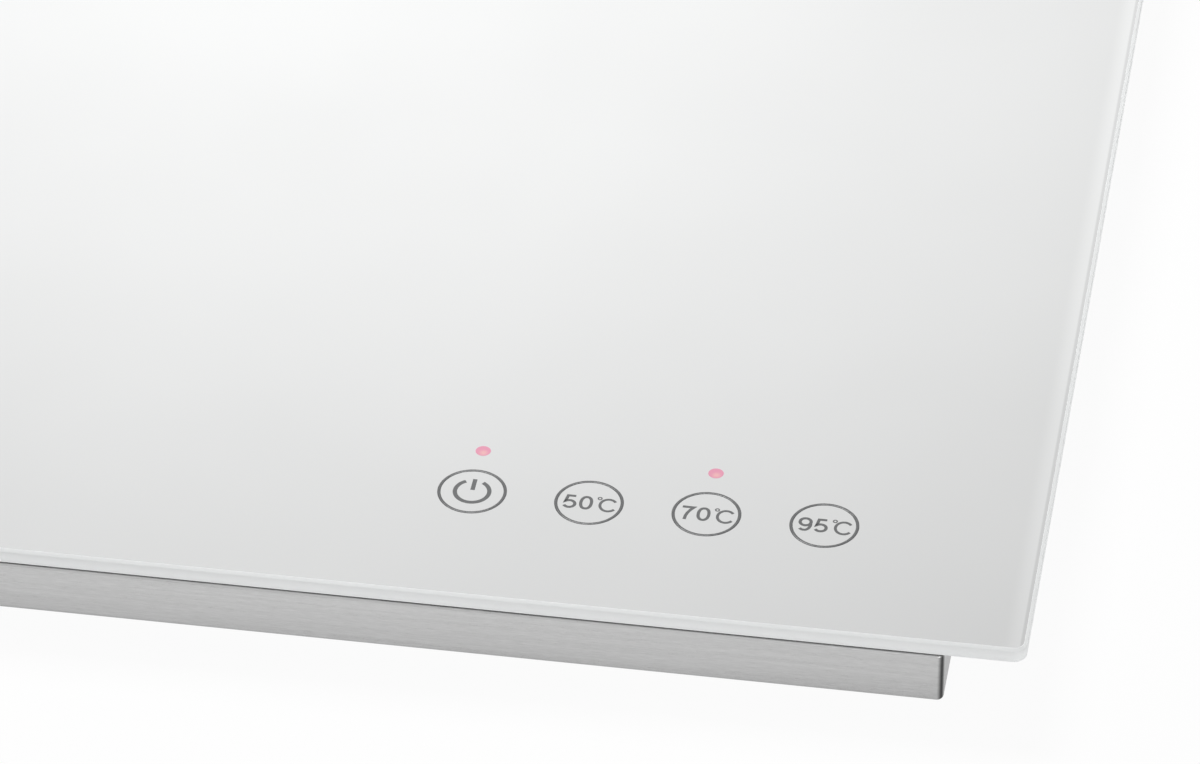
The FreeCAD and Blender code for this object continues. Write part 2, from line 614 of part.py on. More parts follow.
def route(points, bend):
    """A path of straight runs whose bends take no more than half of a run at either side."""
    ends = [FreeCAD.Vector(*(number(value) for value in point)) for point in points]
    path = [ends[0]]
    for before, corner, after in zip(ends, ends[1:], ends[2:]):
        arriving = (corner - before).normalize()
        leaving = (after - corner).normalize()
        turn = arriving.getAngle(leaving)
        shorter = min((corner - before).Length, (after - corner).Length)
        radius = min(bend, shorter / 2 / math.tan(turn / 2))
        centre = corner + (leaving - arriving).normalize() * (radius / math.cos(turn / 2))
        spoke = corner - arriving * (radius * math.tan(turn / 2)) - centre
        axis = arriving.cross(leaving)
        runs = max(1, round(BEND_RUNS * turn / (math.pi / 2)))
        for step in range(runs + 1):
            place = centre + FreeCAD.Rotation(axis, math.degrees(turn) * step / runs).multVec(spoke)
            if place.distanceToPoint(path[-1]) > 1e-6:
                path.append(place)
    path.append(ends[-1])
    return Part.makePolygon(path)


def tube(path, diameter):
    """A wire of six-sided section with mitred bends, which keeps its many turns light."""
    first = path.OrderedEdges[0]
    start = first.valueAt(first.FirstParameter)
    ring = Part.makeCircle(diameter / 2, start, first.tangentAt(first.FirstParameter))
    section = Part.makePolygon(ring.discretize(Number=SECTION_SIDES + 1))
    mitred = 1
    solid = path.makePipeShell([section], True, False, mitred)
    turn = 2 * math.pi / SECTION_SIDES
    wanted = SECTION_SIDES / 2 * math.sin(turn) * (diameter / 2) ** 2 * path.Length
    if abs(solid.Volume - wanted) > wanted * 0.01:
        raise RuntimeError("a tube's volume isn't its section times its length")
    return solid


def wiring(label, routes, diameter, bend):
    """A node of leads, each along its own route."""
    shapes = [tube(route(points, number(bend)), number(diameter)) for points in routes]
    lead = document.addObject("Part::Feature", label)
    lead.Label = label
    lead.Shape = shapes[0] if len(shapes) == 1 else Part.makeCompound(shapes)
    lead.Placement = FreeCAD.Placement()
    sub_parts.append(lead)


def symmetric_spots(x, y_front, y_rear):
    return [(x_side, y) for y in (y_front, y_rear) for x_side in (f"-{x}", x)]


def base_screw_spots():
    """Base screws: a row along the front and the back, and some between them at each side."""
    half = "(Places.side - Sizes.bottom_flange / 2)"
    front = "(Places.front + Sizes.bottom_flange / 2)"
    rear = "(Places.rear - Sizes.bottom_flange / 2)"
    columns = int(number("Sizes.base_screw_columns"))
    rows = int(number("Sizes.side_screw_rows"))
    spots = []
    for column in range(columns):
        x = f"-{half} + {2 * column} * {half} / {columns - 1}"
        spots += [(x, front), (x, rear)]
    for row in range(1, rows + 1):
        y = f"{front} + ({rear} - {front}) * {row} / {rows + 1}"
        spots += [(f"-{half}", y), (half, y)]
    return spots


FOOT_SPOTS = symmetric_spots("Places.foot_x", "Places.foot_front", "Places.foot_rear")
TOUCH_SCREW_SPOTS = [(x, y)
                     for x in ("Places.touch_left + Sizes.board_screw_inset",
                               "Places.touch_right - Sizes.board_screw_inset")
                     for y in ("Places.touch_front + Sizes.board_screw_inset",
                               "Places.touch_rear - Sizes.board_screw_inset")]
POWER_SCREW_SPOTS = [(x, y)
                     for x in ("Places.power_left + Sizes.board_screw_inset",
                               "Places.power_right - Sizes.board_screw_inset")
                     for y in ("Places.power_front + Sizes.board_screw_inset",
                               "Places.power_rear - Sizes.board_screw_inset")]


def button_spots(row):
    count = int(number("Sizes.button_count"))
    return [(f"Places.first_button + {index} * Sizes.button_pitch", row) for index in range(count)]


def make_glass_top():
    body = plate("glass_top", "-Places.glass_half", "Places.glass_front", "Places.glass_half",
                 "Places.glass_rear", "Sizes.glass_corner", "Sizes.glass_thickness", "Places.glass_under")
    eased(body, "Chamfer", "top_arris", "Sizes.glass_top_arris", level_with("Sizes.glass_thickness"))
    eased(body, "Chamfer", "bottom_arris", "Sizes.glass_bottom_arris", level_with("0"))


def make_glass_seal():
    body = new_body("glass_seal", z="Places.housing_top")
    outline = Outline(body, "seal_outline")
    inner = "Sizes.seal_recess - Sizes.seal_width"
    for recess in ("Sizes.seal_recess", "(Sizes.seal_recess + Sizes.seal_width)"):
        outline.rounded(f"-Places.side + {recess}", f"Places.front + {recess}",
                        f"Places.side - {recess}", f"Places.rear - {recess}", "Sizes.corner_bend")
    pad(body, outline, "Sizes.seal_thickness", "seal_strip")


def make_housing():
    body = plate("housing", "-Places.side", "Places.front", "Places.side", "Places.rear",
                 "Sizes.corner_bend", "Sizes.housing_height", "Places.base_top")
    eased(body, "Fillet", "lower_bends", "Sizes.lower_bend", level_with("0"))
    eased(body, "Fillet", "upper_bends", "Sizes.upper_bend", level_with("Sizes.housing_height"))
    inside = Outline(body, "inside_outline", level="Sizes.sheet")
    inside.rounded("-Places.side + Sizes.sheet", "Places.front + Sizes.sheet",
                   "Places.side - Sizes.sheet", "Places.rear - Sizes.sheet",
                   "Sizes.corner_bend - Sizes.sheet")
    pocket(body, inside, "Sizes.housing_height - 2 * Sizes.sheet", "inside", up=True)
    flanges = [("glass_opening", "Sizes.top_flange", "Sizes.housing_height", False),
               ("base_opening", "Sizes.bottom_flange", "0", True)]
    for name, flange, level, up in flanges:
        opening = Outline(body, f"{name}_outline", level=level)
        opening.rectangle(f"-Places.side + {flange}", f"Places.front + {flange}",
                          f"Places.side - {flange}", f"Places.rear - {flange}")
        pocket(body, opening, "Sizes.sheet + Sizes.cut_past", name, up=up)
    slits = Outline(body, "mitre_outline")
    for x_sign, x_wall in ((-1, "-Places.side"), (1, "Places.side")):
        for y_sign, y_wall in ((-1, "Places.front"), (1, "Places.rear")):
            slits.polygon(mitre_slit(x_wall, -x_sign, y_wall, -y_sign))
    pocket(body, slits, "Sizes.housing_height", "mitre_slits", up=True)
    holes(body, base_screw_spots(), "Sizes.screw_diameter + 2 * Sizes.thread_gap",
          "Sizes.sheet + Sizes.cut_past", "flange_holes")
    gland = Outline(body, "gland_hole_outline", plane="XZ_Plane", level="-Places.rear")
    gland.circle("Places.gland_x", "Sizes.housing_height / 2", "Sizes.gland_neck + 2 * Sizes.fit_gap")
    pocket(body, gland, "2 * (Sizes.sheet + Sizes.cut_past)", "gland_hole", middle=True)


def mitre_slit(x_wall, x_in, y_wall, y_in):
    """Corners of a narrow slit along a flange's mitre, from beside the bend inwards."""
    start = "Sizes.corner_bend"
    end = "(Sizes.bottom_flange + Sizes.mitre_gap)"
    half = "Sizes.mitre_gap / 2"
    corners = [(start, f"+ {half}", f"- {half}"), (end, f"+ {half}", f"- {half}"),
               (end, f"- {half}", f"+ {half}"), (start, f"- {half}", f"+ {half}")]
    points = [(f"{x_wall} + {x_in} * ({run} {x_shift})", f"{y_wall} + {y_in} * ({run} {y_shift})")
              for run, x_shift, y_shift in corners]
    return points


def make_base_plate():
    inset = "Sizes.base_inset"
    body = plate("base_plate", f"-Places.side + {inset}", f"Places.front + {inset}",
                 f"Places.side - {inset}", f"Places.rear - {inset}", "Sizes.base_corner",
                 "Sizes.base_thickness", "Places.base_under")
    first = ("(Places.spreader_front + Places.spreader_rear) / 2"
             " - (Sizes.bead_count - 1) / 2 * Sizes.bead_pitch")
    draft = 45
    hollow_shrink = "Sizes.base_thickness * (sqrt(2) - 1)"
    for name, level, shrink, cut in (("bead", "0", "0", False),
                                     ("bead_hollow", "Sizes.base_thickness", hollow_shrink, True)):
        outline = Outline(body, f"{name}_outline", level=level)
        outline.cut_cornered(f"-Sizes.bead_length / 2 + {shrink}",
                             f"{first} - Sizes.bead_width / 2 + {shrink}",
                             f"Sizes.bead_length / 2 - {shrink}",
                             f"{first} + Sizes.bead_width / 2 - {shrink}", "Sizes.bead_corner")
        if cut:
            feature = pocket(body, outline, "Sizes.bead_depth", name, taper=-draft)
        else:
            feature = pad(body, outline, "Sizes.bead_depth", name, down=True, taper=-draft)
        row_of(body, feature, f"{name}_row", "Y_Axis", "Sizes.bead_count", "Sizes.bead_pitch")
    slot = Outline(body, "vent_outline")
    low = "Places.power_y - Sizes.vent_length / 2"
    slot.cut_cornered("Sizes.vent_start", low, "Sizes.vent_start + Sizes.vent_width",
                      f"{low} + Sizes.vent_length", "Sizes.vent_corner")
    vent = pocket(body, slot, "Sizes.base_thickness", "vent", up=True)
    row_of(body, vent, "vent_row", "X_Axis", "Sizes.vent_count", "Sizes.vent_pitch")
    holes(body, base_screw_spots() + FOOT_SPOTS, "Sizes.screw_diameter + 2 * Sizes.pass_gap",
          "Sizes.base_thickness", "screw_holes")
    holes(body, TOUCH_SCREW_SPOTS + POWER_SCREW_SPOTS,
          "Sizes.board_screw_diameter + 2 * Sizes.thread_gap", "Sizes.base_thickness", "board_screw_holes")
    holes(body, [("Sizes.earth_x", "Places.power_front + Sizes.earth_y")],
          "Sizes.earth_stud_diameter + 2 * Sizes.thread_gap", "Sizes.base_thickness", "earth_hole")


def make_base_screws():
    screws("base_screws", base_screw_spots(), "Places.base_under", "Sizes.screw_head_diameter",
           "Sizes.screw_head_height", "Sizes.screw_diameter", "Sizes.screw_length", head_up=False)


def make_feet():
    corners = [("foot_front_left", "-Places.foot_x", "Places.foot_front"),
               ("foot_front_right", "Places.foot_x", "Places.foot_front"),
               ("foot_rear_left", "-Places.foot_x", "Places.foot_rear"),
               ("foot_rear_right", "Places.foot_x", "Places.foot_rear")]
    widening = "atan((Sizes.foot_top_diameter - Sizes.foot_bottom_diameter) / 2 / Sizes.foot_height)"
    for label, x, y in corners:
        body = new_body(label, x=x, y=y)
        outline = Outline(body, f"{label}_outline")
        outline.ring("0", "0", "Sizes.foot_bottom_diameter", FOOT_SIDES)
        cone = pad(body, outline, "Sizes.foot_height", f"{label}_cone")
        cone.setExpression("TaperAngle", widening)
        finish_feature(body, cone)
        eased(body, "Chamfer", f"{label}_edge", "Sizes.foot_edge", level_with("0"))
        recess = Outline(body, f"{label}_recess_outline")
        recess.ring("0", "0", "Sizes.foot_recess_diameter", FOOT_SIDES)
        pocket(body, recess, "Sizes.foot_recess_depth", f"{label}_recess", up=True)
        holes(body, [("0", "0")], "Sizes.screw_diameter + 2 * Sizes.pass_gap", "Sizes.foot_height",
              f"{label}_bore")


def make_foot_fasteners():
    screws("foot_screws", FOOT_SPOTS, "Sizes.foot_recess_depth", "Sizes.screw_head_diameter",
           "Sizes.screw_head_height", "Sizes.screw_diameter",
           "Places.base_top + Sizes.nut_height + Sizes.thread_end - Sizes.foot_recess_depth",
           head_up=False)
    nuts("foot_nuts", FOOT_SPOTS, "Places.base_top", "Sizes.nut_flats", "Sizes.nut_height",
         "Sizes.screw_diameter + 2 * Sizes.thread_gap")


def make_cord_gland():
    body = new_body("cord_gland", x="Places.gland_x", y="Places.rear", z="Places.gland_level")
    inner = "-Sizes.sheet - Sizes.gland_inner_length"
    profile = Outline(body, "gland_profile")
    profile.polygon([("Sizes.gland_bore / 2", inner), ("Sizes.gland_neck / 2", inner),
                     ("Sizes.gland_neck / 2", "0"), ("Sizes.gland_flange / 2", "0"),
                     ("Sizes.gland_flange / 2", "Sizes.gland_flange_thickness"),
                     ("Sizes.gland_neck / 2", "Sizes.gland_flange_thickness"),
                     ("Sizes.gland_tail / 2", "Sizes.gland_length"),
                     ("Sizes.gland_bore / 2", "Sizes.gland_length")])
    turned(body, profile, "gland_bush")
    nut = new_body("gland_nut", x="Places.gland_x", y="Places.rear - Sizes.sheet", z="Places.gland_level")
    outline = Outline(nut, "gland_nut_outline", plane="XZ_Plane")
    outline.hexagon("0", "0", "Sizes.gland_nut_flats")
    outline.circle("0", "0", "Sizes.gland_neck + 2 * Sizes.fit_gap")
    pad(nut, outline, "Sizes.gland_nut_height", "gland_nut_body")


def make_heat_spreader():
    plate("heat_spreader", "-Places.spreader_side", "Places.spreader_front", "Places.spreader_side",
          "Places.spreader_rear", "Sizes.spreader_corner", "Sizes.spreader_thickness",
          "Places.spreader_under")


def row_level(row):
    return f"Places.first_row + {row} * Sizes.cable_pitch"


def make_heating_cable():
    """One cable laid to and fro under the spreader; both tails run to the front zone at the left."""
    rows = int(number("Sizes.cable_rows"))
    if rows % 2:
        raise RuntimeError("both tails leave at the left only with an even number of rows")
    level = "Places.cable_level"
    points = [("Places.tail_end", "Places.inner_tail_y", level),
              ("Places.tail_inner", "Places.inner_tail_y", level)]
    x = "Places.tail_inner"
    for row in range(rows):
        y = row_level(row)
        points.append((x, y, level))
        last = row == rows - 1
        turn = "Sizes.cable_reach" if row % 2 == 0 else "-Sizes.cable_reach"
        x = "Places.tail_outer" if last else turn
        points.append((x, y, level))
    points += [("Places.tail_outer", "Places.outer_tail_y", level),
               ("Places.tail_end", "Places.outer_tail_y", level)]
    wiring("heating_cable", [points], "Sizes.cable_diameter", "Sizes.cable_pitch / 2")


def make_cable_foil():
    inset = "Sizes.foil_inset"
    body = plate("cable_foil", "-Places.spreader_side + Sizes.foil_left_inset",
                 f"Places.spreader_front + {inset}",
                 f"Places.spreader_side - {inset}", f"Places.spreader_rear - {inset}",
                 "Sizes.spreader_corner - Sizes.foil_inset", "Sizes.foil_thickness", "Places.mat_top")
    windows = Outline(body, "foil_window_outline")
    for y, length, width in (
            ("Places.cutout_y", "Sizes.bracket_length", "Sizes.bracket_width"),
            ("Places.sensor_y", "(Sizes.sensor_length + 2 * Sizes.sensor_width)", "Sizes.sensor_width"),
            ("Places.fuse_y", "Places.fuse_span", "Places.clip_span")):
        windows.rectangle(f"Sizes.channel_x - {length} / 2 - Sizes.foil_window_gap",
                          f"{y} - {width} / 2 - Sizes.foil_window_gap",
                          f"Sizes.channel_x + {length} / 2 + Sizes.foil_window_gap",
                          f"{y} + {width} / 2 + Sizes.foil_window_gap")
    pocket(body, windows, "Sizes.foil_thickness", "foil_windows", up=True)


def make_insulation_mat():
    body = new_body("insulation_mat", z="Places.base_top")
    outline = Outline(body, "mat_outline")
    half = "(Places.spreader_side - Sizes.mat_inset)"
    left = "Sizes.channel_x - Sizes.channel_width / 2"
    right = "Sizes.channel_x + Sizes.channel_width / 2"
    end = "Places.mat_front + Sizes.channel_length"
    inner = f"({half} - Sizes.mat_notch)"
    step = "Places.spreader_rear - Sizes.mat_notch"
    outline.polygon([(f"-{half}", "Places.mat_front"), (left, "Places.mat_front"), (left, end), (right, end),
                     (right, "Places.mat_front"), (half, "Places.mat_front"), (half, step), (inner, step),
                     (inner, "Places.spreader_rear"), (f"-{inner}", "Places.spreader_rear"),
                     (f"-{inner}", step), (f"-{half}", step)])
    pad(body, outline, "Places.mat_top - Places.base_top", "mat_sheet")


def make_heat_barrier():
    """A folded sheet that stands on the base plate between the hot zone and the electronics."""
    body = new_body("heat_barrier", y="Places.barrier", z="Places.base_top")
    profile = Outline(body, "barrier_profile", plane="YZ_Plane")
    sheet = "Sizes.barrier_thickness"
    top = "Places.glass_under - Places.base_top - Sizes.barrier_gap"
    profile.polygon([("0", "0"), (f"{sheet} + Sizes.barrier_foot", "0"),
                     (f"{sheet} + Sizes.barrier_foot", sheet), (sheet, sheet), (sheet, top), ("0", top)])
    pad(body, profile, "2 * (Places.side - Sizes.bottom_flange - Sizes.barrier_end_gap)", "barrier_sheet",
        middle=True)
    windows = Outline(body, "barrier_window_outline", plane="XZ_Plane")
    windows.rectangle("Places.tail_outer - Sizes.tail_gap / 2", f"{top} - Sizes.barrier_window_height",
                      "Places.tail_inner + Sizes.tail_gap / 2", f"{top} + Sizes.cut_past")
    windows.rectangle("Sizes.channel_x - Sizes.channel_width / 2", f"{sheet} + Sizes.barrier_sill",
                      "Sizes.channel_x + Sizes.channel_width / 2", "Sizes.barrier_window_height")
    pocket(body, windows, f"4 * {sheet}", "barrier_windows", middle=True)


def make_heater_crimps():
    """Two barrels that grip a cable tail at one end and a lead at the other."""
    body = new_body("heater_crimps", x="Places.tail_end - Sizes.crimp_grip", z="Places.cable_level")
    barrels = Outline(body, "crimp_outline", plane="YZ_Plane")
    for y in ("Places.inner_tail_y", "Places.outer_tail_y"):
        barrels.ring(y, "0", "Sizes.crimp_diameter")
    pad(body, barrels, "Sizes.crimp_length", "crimp_barrels")
    for name, wire, level, up in (("cable_sockets", "Sizes.cable_diameter", "0", True),
                                  ("lead_sockets", "Sizes.lead_diameter", "Sizes.crimp_length", False)):
        sockets = Outline(body, f"{name}_outline", plane="YZ_Plane", level=level)
        for y in ("Places.inner_tail_y", "Places.outer_tail_y"):
            sockets.ring(y, "0", f"{wire} + 2 * Sizes.touch_gap")
        pocket(body, sockets, "Sizes.crimp_grip + Sizes.touch_gap", name, up=up)


def block_way(way):
    """Front-to-back place of a way of the terminal block, counted from the back."""
    return f"Places.block_y + ((Sizes.block_ways - 1) / 2 - {way}) * Sizes.block_pitch"


def make_mains_leads():
    start = "Places.tail_end - 2 * Sizes.crimp_grip + Sizes.crimp_length"
    end = "Places.block_front - Sizes.lead_in"
    turn = "Places.block_front + Sizes.lead_clearance"
    routes = []
    for way, tail, step in ((0, "Places.outer_tail_y", 0), (1, "Places.inner_tail_y", 1)):
        x = f"{turn} + {step} * Sizes.tail_row"
        routes.append([(start, tail, "Places.cable_level"), (x, tail, "Places.cable_level"),
                       (x, block_way(way), "Places.entry_level"),
                       (end, block_way(way), "Places.entry_level")])
    wiring("heater_leads", routes, "Sizes.lead_diameter", "Sizes.lead_bend")


def make_sensor():
    body = new_body("temperature_sensor", x="Sizes.channel_x", y="Places.sensor_y", z="Places.spreader_under")
    profile = Outline(body, "sensor_profile", plane="YZ_Plane")
    half = "Sizes.sensor_width / 2"
    profile.polygon([(f"-{half}", "0"), (f"-{half}", "-Sizes.sensor_height + Sizes.sensor_chamfer"),
                     (f"-{half} + Sizes.sensor_chamfer", "-Sizes.sensor_height"),
                     (f"{half} - Sizes.sensor_chamfer", "-Sizes.sensor_height"),
                     (half, "-Sizes.sensor_height + Sizes.sensor_chamfer"), (half, "0")])
    pad(body, profile, "Sizes.sensor_length", "sensor_block", middle=True)
    bore = Outline(body, "sensor_bore_outline", plane="YZ_Plane", level="Sizes.sensor_length / 2")
    bore.ring("0", "-Sizes.sensor_height / 2", "Sizes.thin_lead_diameter + 2 * Sizes.touch_gap")
    pocket(body, bore, "Sizes.sensor_length / 2", "sensor_bore")


def make_thermal_fuse():
    body = new_body("thermal_fuse", x="Sizes.channel_x", y="Places.fuse_y", z="Places.fuse_level")
    for name, diameter, length in (("fuse_can", "Sizes.fuse_diameter", "Sizes.fuse_length"),
                                   ("fuse_wires", "Sizes.fuse_wire",
                                    "Sizes.fuse_length + 2 * Sizes.fuse_wire_length")):
        outline = Outline(body, f"{name}_outline", plane="YZ_Plane")
        outline.ring("0", "0", diameter)
        pad(body, outline, length, name, middle=True)


def make_fuse_clip():
    """A folded strap under the thermal fuse, spot-welded to the spreader by its two flanges."""
    body = new_body("fuse_clip", x="Sizes.channel_x", y="Places.fuse_y", z="Places.spreader_under")
    profile = Outline(body, "clip_profile", plane="YZ_Plane")
    inner = "(Sizes.fuse_diameter / 2 + Sizes.fit_gap)"
    sheet = "Sizes.clip_thickness"
    depth = "(Sizes.fuse_diameter + Sizes.touch_gap + Sizes.fit_gap)"
    ear = f"{inner} + {sheet} + Sizes.clip_ear"
    right = [(ear, "0"), (inner, "0"), (inner, f"-{depth}")]
    left = [(f"-({inner})", f"-{depth}"), (f"-({inner})", "0"), (f"-({ear})", "0")]
    under_left = [(f"-({ear})", f"-{sheet}"), (f"-({inner} + {sheet})", f"-{sheet}"),
                  (f"-({inner} + {sheet})", f"-{depth} - {sheet}")]
    under_right = [(f"{inner} + {sheet}", f"-{depth} - {sheet}"), (f"{inner} + {sheet}", f"-{sheet}"),
                   (ear, f"-{sheet}")]
    profile.polygon(right + left + under_left + under_right)
    pad(body, profile, "Sizes.clip_width", "clip_strap", middle=True)


def cutout_body(label, depth):
    """A body on the cut-out's axis, its origin a given depth below the spreader."""
    return new_body(label, x="Sizes.channel_x", y="Places.cutout_y", z=f"Places.spreader_under - ({depth})")


def make_cutout_cap():
    body = cutout_body("cutout_cap", "0")
    profile = Outline(body, "cap_profile", plane="XZ_Plane")
    outer = "Sizes.cap_diameter / 2"
    inner = "Sizes.cap_diameter / 2 - Sizes.cap_wall"
    rim = "Sizes.rim_diameter / 2"
    profile.polygon([("0", "0"), (outer, "0"), (outer, "-Sizes.cap_height + Sizes.cap_wall"),
                     (rim, "-Sizes.cap_height + Sizes.cap_wall"), (rim, "-Sizes.cap_height"),
                     (inner, "-Sizes.cap_height"), (inner, "-Sizes.cap_wall"), ("0", "-Sizes.cap_wall")])
    turned(body, profile, "cap_cup")


def make_cutout_disc():
    """A dished bimetal disc, bowed towards the cap when cold."""
    body = document.addObject("Part::Feature", "cutout_disc")
    body.Label = "cutout_disc"
    radius = number("Sizes.disc_diameter") / 2
    rise = number("Sizes.disc_rise")
    sheet = number("Sizes.disc_thickness")
    sphere = (radius ** 2 + rise ** 2) / (2 * rise)
    centre = FreeCAD.Vector(0, 0, rise - sphere)
    band = Part.makeCylinder(radius, 4 * rise, FreeCAD.Vector(0, 0, -rise))
    shell = Part.makeSphere(sphere + sheet, centre).cut(Part.makeSphere(sphere, centre))
    body.Shape = shell.common(band)
    depth = number("Places.spreader_under - Sizes.disc_seat")
    body.Placement = FreeCAD.Placement(FreeCAD.Vector(number("Sizes.channel_x"), number("Places.cutout_y"),
                                                      depth), FreeCAD.Rotation())
    sub_parts.append(body)


def make_cutout_guide():
    body = cutout_body("cutout_guide", "Sizes.guide_top")
    profile = Outline(body, "guide_profile", plane="XZ_Plane")
    bore = "Sizes.pin_diameter / 2 + Sizes.pin_fit"
    outer = "Sizes.cap_diameter / 2 - Sizes.cap_wall - Sizes.fit_gap"
    lip = f"{outer} - Sizes.guide_lip_width"
    profile.polygon([(bore, "0"), (lip, "0"), (lip, "Sizes.guide_lip"),
                     (outer, "Sizes.guide_lip"), (outer, "-Sizes.guide_thickness"),
                     (bore, "-Sizes.guide_thickness")])
    turned(body, profile, "guide_ring")


def make_cutout_pin():
    """The pin that the disc pushes: flat at the disc, pointed at the contact arm."""
    body = cutout_body("cutout_pin", "Sizes.arm_level - Sizes.pin_gap")
    outline = Outline(body, "pin_outline")
    outline.circle("0", "0", "Sizes.pin_diameter")
    length = "Sizes.arm_level - Sizes.pin_gap - Sizes.disc_seat + Sizes.disc_rise - Sizes.touch_gap"
    pad(body, outline, length, "pin_rod")
    eased(body, "Chamfer", "pin_cone", "Sizes.pin_point", level_with("0"))


def make_cutout_case():
    body = cutout_body("cutout_case", "Sizes.guide_top + Sizes.guide_thickness")
    outline = Outline(body, "case_outline")
    outline.circle("0", "0", "Sizes.case_diameter")
    pad(body, outline, "Sizes.case_height", "case_block", down=True)
    chamber = Outline(body, "chamber_outline")
    chamber.cut_cornered("-Sizes.chamber_length / 2", "-Sizes.chamber_width / 2",
                         "Sizes.chamber_length / 2", "Sizes.chamber_width / 2", "Sizes.chamber_corner")
    pocket(body, chamber, "Sizes.chamber_depth", "chamber")
    slots = Outline(body, "terminal_slot_outline", level="-Sizes.case_height")
    for low, high in (("-Sizes.terminal_x", "-Sizes.terminal_x + Sizes.terminal_thickness"),
                      ("Sizes.terminal_x - Sizes.terminal_thickness", "Sizes.terminal_x")):
        slots.rectangle(f"{low} - Sizes.pin_fit", "-Sizes.terminal_width / 2 - Sizes.pin_fit",
                        f"{high} + Sizes.pin_fit", "Sizes.terminal_width / 2 + Sizes.pin_fit")
    pocket(body, slots, "Sizes.case_height - Sizes.chamber_depth", "terminal_slots", up=True)


def make_cutout_arm():
    """A spring leaf with the moving contact riveted near its tip."""
    body = cutout_body("cutout_arm", "Sizes.arm_level + Sizes.arm_thickness")
    leaf = Outline(body, "arm_outline")
    leaf.rectangle("-Sizes.arm_pivot + Sizes.arm_clamp_gap", "-Sizes.arm_width / 2", "Sizes.arm_tip",
                   "Sizes.arm_width / 2")
    pad(body, leaf, "Sizes.arm_thickness", "arm_leaf")
    button = Outline(body, "contact_outline")
    button.ring("Sizes.contact_x", "0", "Sizes.contact_diameter")
    pad(body, button, "Sizes.contact_height", "arm_contact", down=True)


def make_cutout_terminals():
    """Two bent terminals: one clamps the arm's root, the other carries the fixed contact."""
    body = cutout_body("cutout_terminals", "Sizes.arm_level + Sizes.arm_thickness")
    sheet = "Sizes.terminal_thickness"
    foot = ("Sizes.guide_top + Sizes.guide_thickness + Sizes.case_height + Sizes.terminal_length"
            " - Sizes.arm_level - Sizes.arm_thickness")
    root = "-Sizes.arm_pivot - Sizes.arm_clamp_gap"
    clamped = Outline(body, "clamped_profile", plane="XZ_Plane")
    clamped.polygon([("-Sizes.terminal_x", f"-({foot})"), (f"-Sizes.terminal_x + {sheet}", f"-({foot})"),
                     (f"-Sizes.terminal_x + {sheet}", f"-{sheet}"), (root, f"-{sheet}"),
                     (root, "Sizes.arm_thickness"), ("-Sizes.terminal_x", "Sizes.arm_thickness")])
    pad(body, clamped, "Sizes.terminal_width", "clamped_terminal", middle=True)
    under = "(Sizes.arm_thickness + Sizes.contact_gap + Sizes.fixed_contact_height)"
    top = f"{under} + Sizes.terminal_thickness / 2"
    inner = "Sizes.contact_x - Sizes.contact_diameter / 2"
    fixed = Outline(body, "fixed_profile", plane="XZ_Plane")
    fixed.polygon([("Sizes.terminal_x", f"-({foot})"), (f"Sizes.terminal_x - {sheet}", f"-({foot})"),
                   (f"Sizes.terminal_x - {sheet}", under),
                   (inner, under), (inner, top), ("Sizes.terminal_x", top)])
    pad(body, fixed, "Sizes.terminal_width", "fixed_terminal", middle=True)
    contact = Outline(body, "fixed_contact_outline", level=under)
    contact.ring("Sizes.contact_x", "0", "Sizes.fixed_contact_diameter")
    pad(body, contact, "Sizes.fixed_contact_height", "fixed_contact", down=True)


def make_cutout_bracket():
    """A plate that the cap's rim rests on, drawn up to the spreader by two studs and nuts."""
    body = cutout_body("cutout_bracket", "Sizes.cap_height")
    outline = Outline(body, "bracket_outline")
    outline.rounded("-Sizes.bracket_length / 2", "-Sizes.bracket_width / 2", "Sizes.bracket_length / 2",
                    "Sizes.bracket_width / 2", "Sizes.bracket_width / 2.2")
    outline.circle("0", "0", "Sizes.case_diameter + 2 * Sizes.pass_gap")
    for side in ("-1", "1"):
        outline.ring(f"{side} * Sizes.stud_pitch / 2", "0", "Sizes.screw_diameter + 2 * Sizes.pass_gap")
    pad(body, outline, "Sizes.bracket_thickness", "bracket_plate", down=True)


def stud_spots():
    return [(f"Sizes.channel_x {sign} Sizes.stud_pitch / 2", "Places.cutout_y") for sign in ("-", "+")]


def make_studs():
    body = new_body("weld_studs", z="Places.spreader_under")
    outline = Outline(body, "stud_outline")
    for x, y in stud_spots():
        outline.ring(x, y, "Sizes.screw_diameter")
    pad(body, outline, "Sizes.stud_length", "studs", down=True)
    eased(body, "Chamfer", "stud_points", "Sizes.stud_point", level_with("-Sizes.stud_length"))
    nuts("stud_nuts", stud_spots(), "Places.bracket_top - Sizes.bracket_thickness - Sizes.nut_height",
         "Sizes.nut_flats", "Sizes.nut_height", "Sizes.screw_diameter + 2 * Sizes.thread_gap")


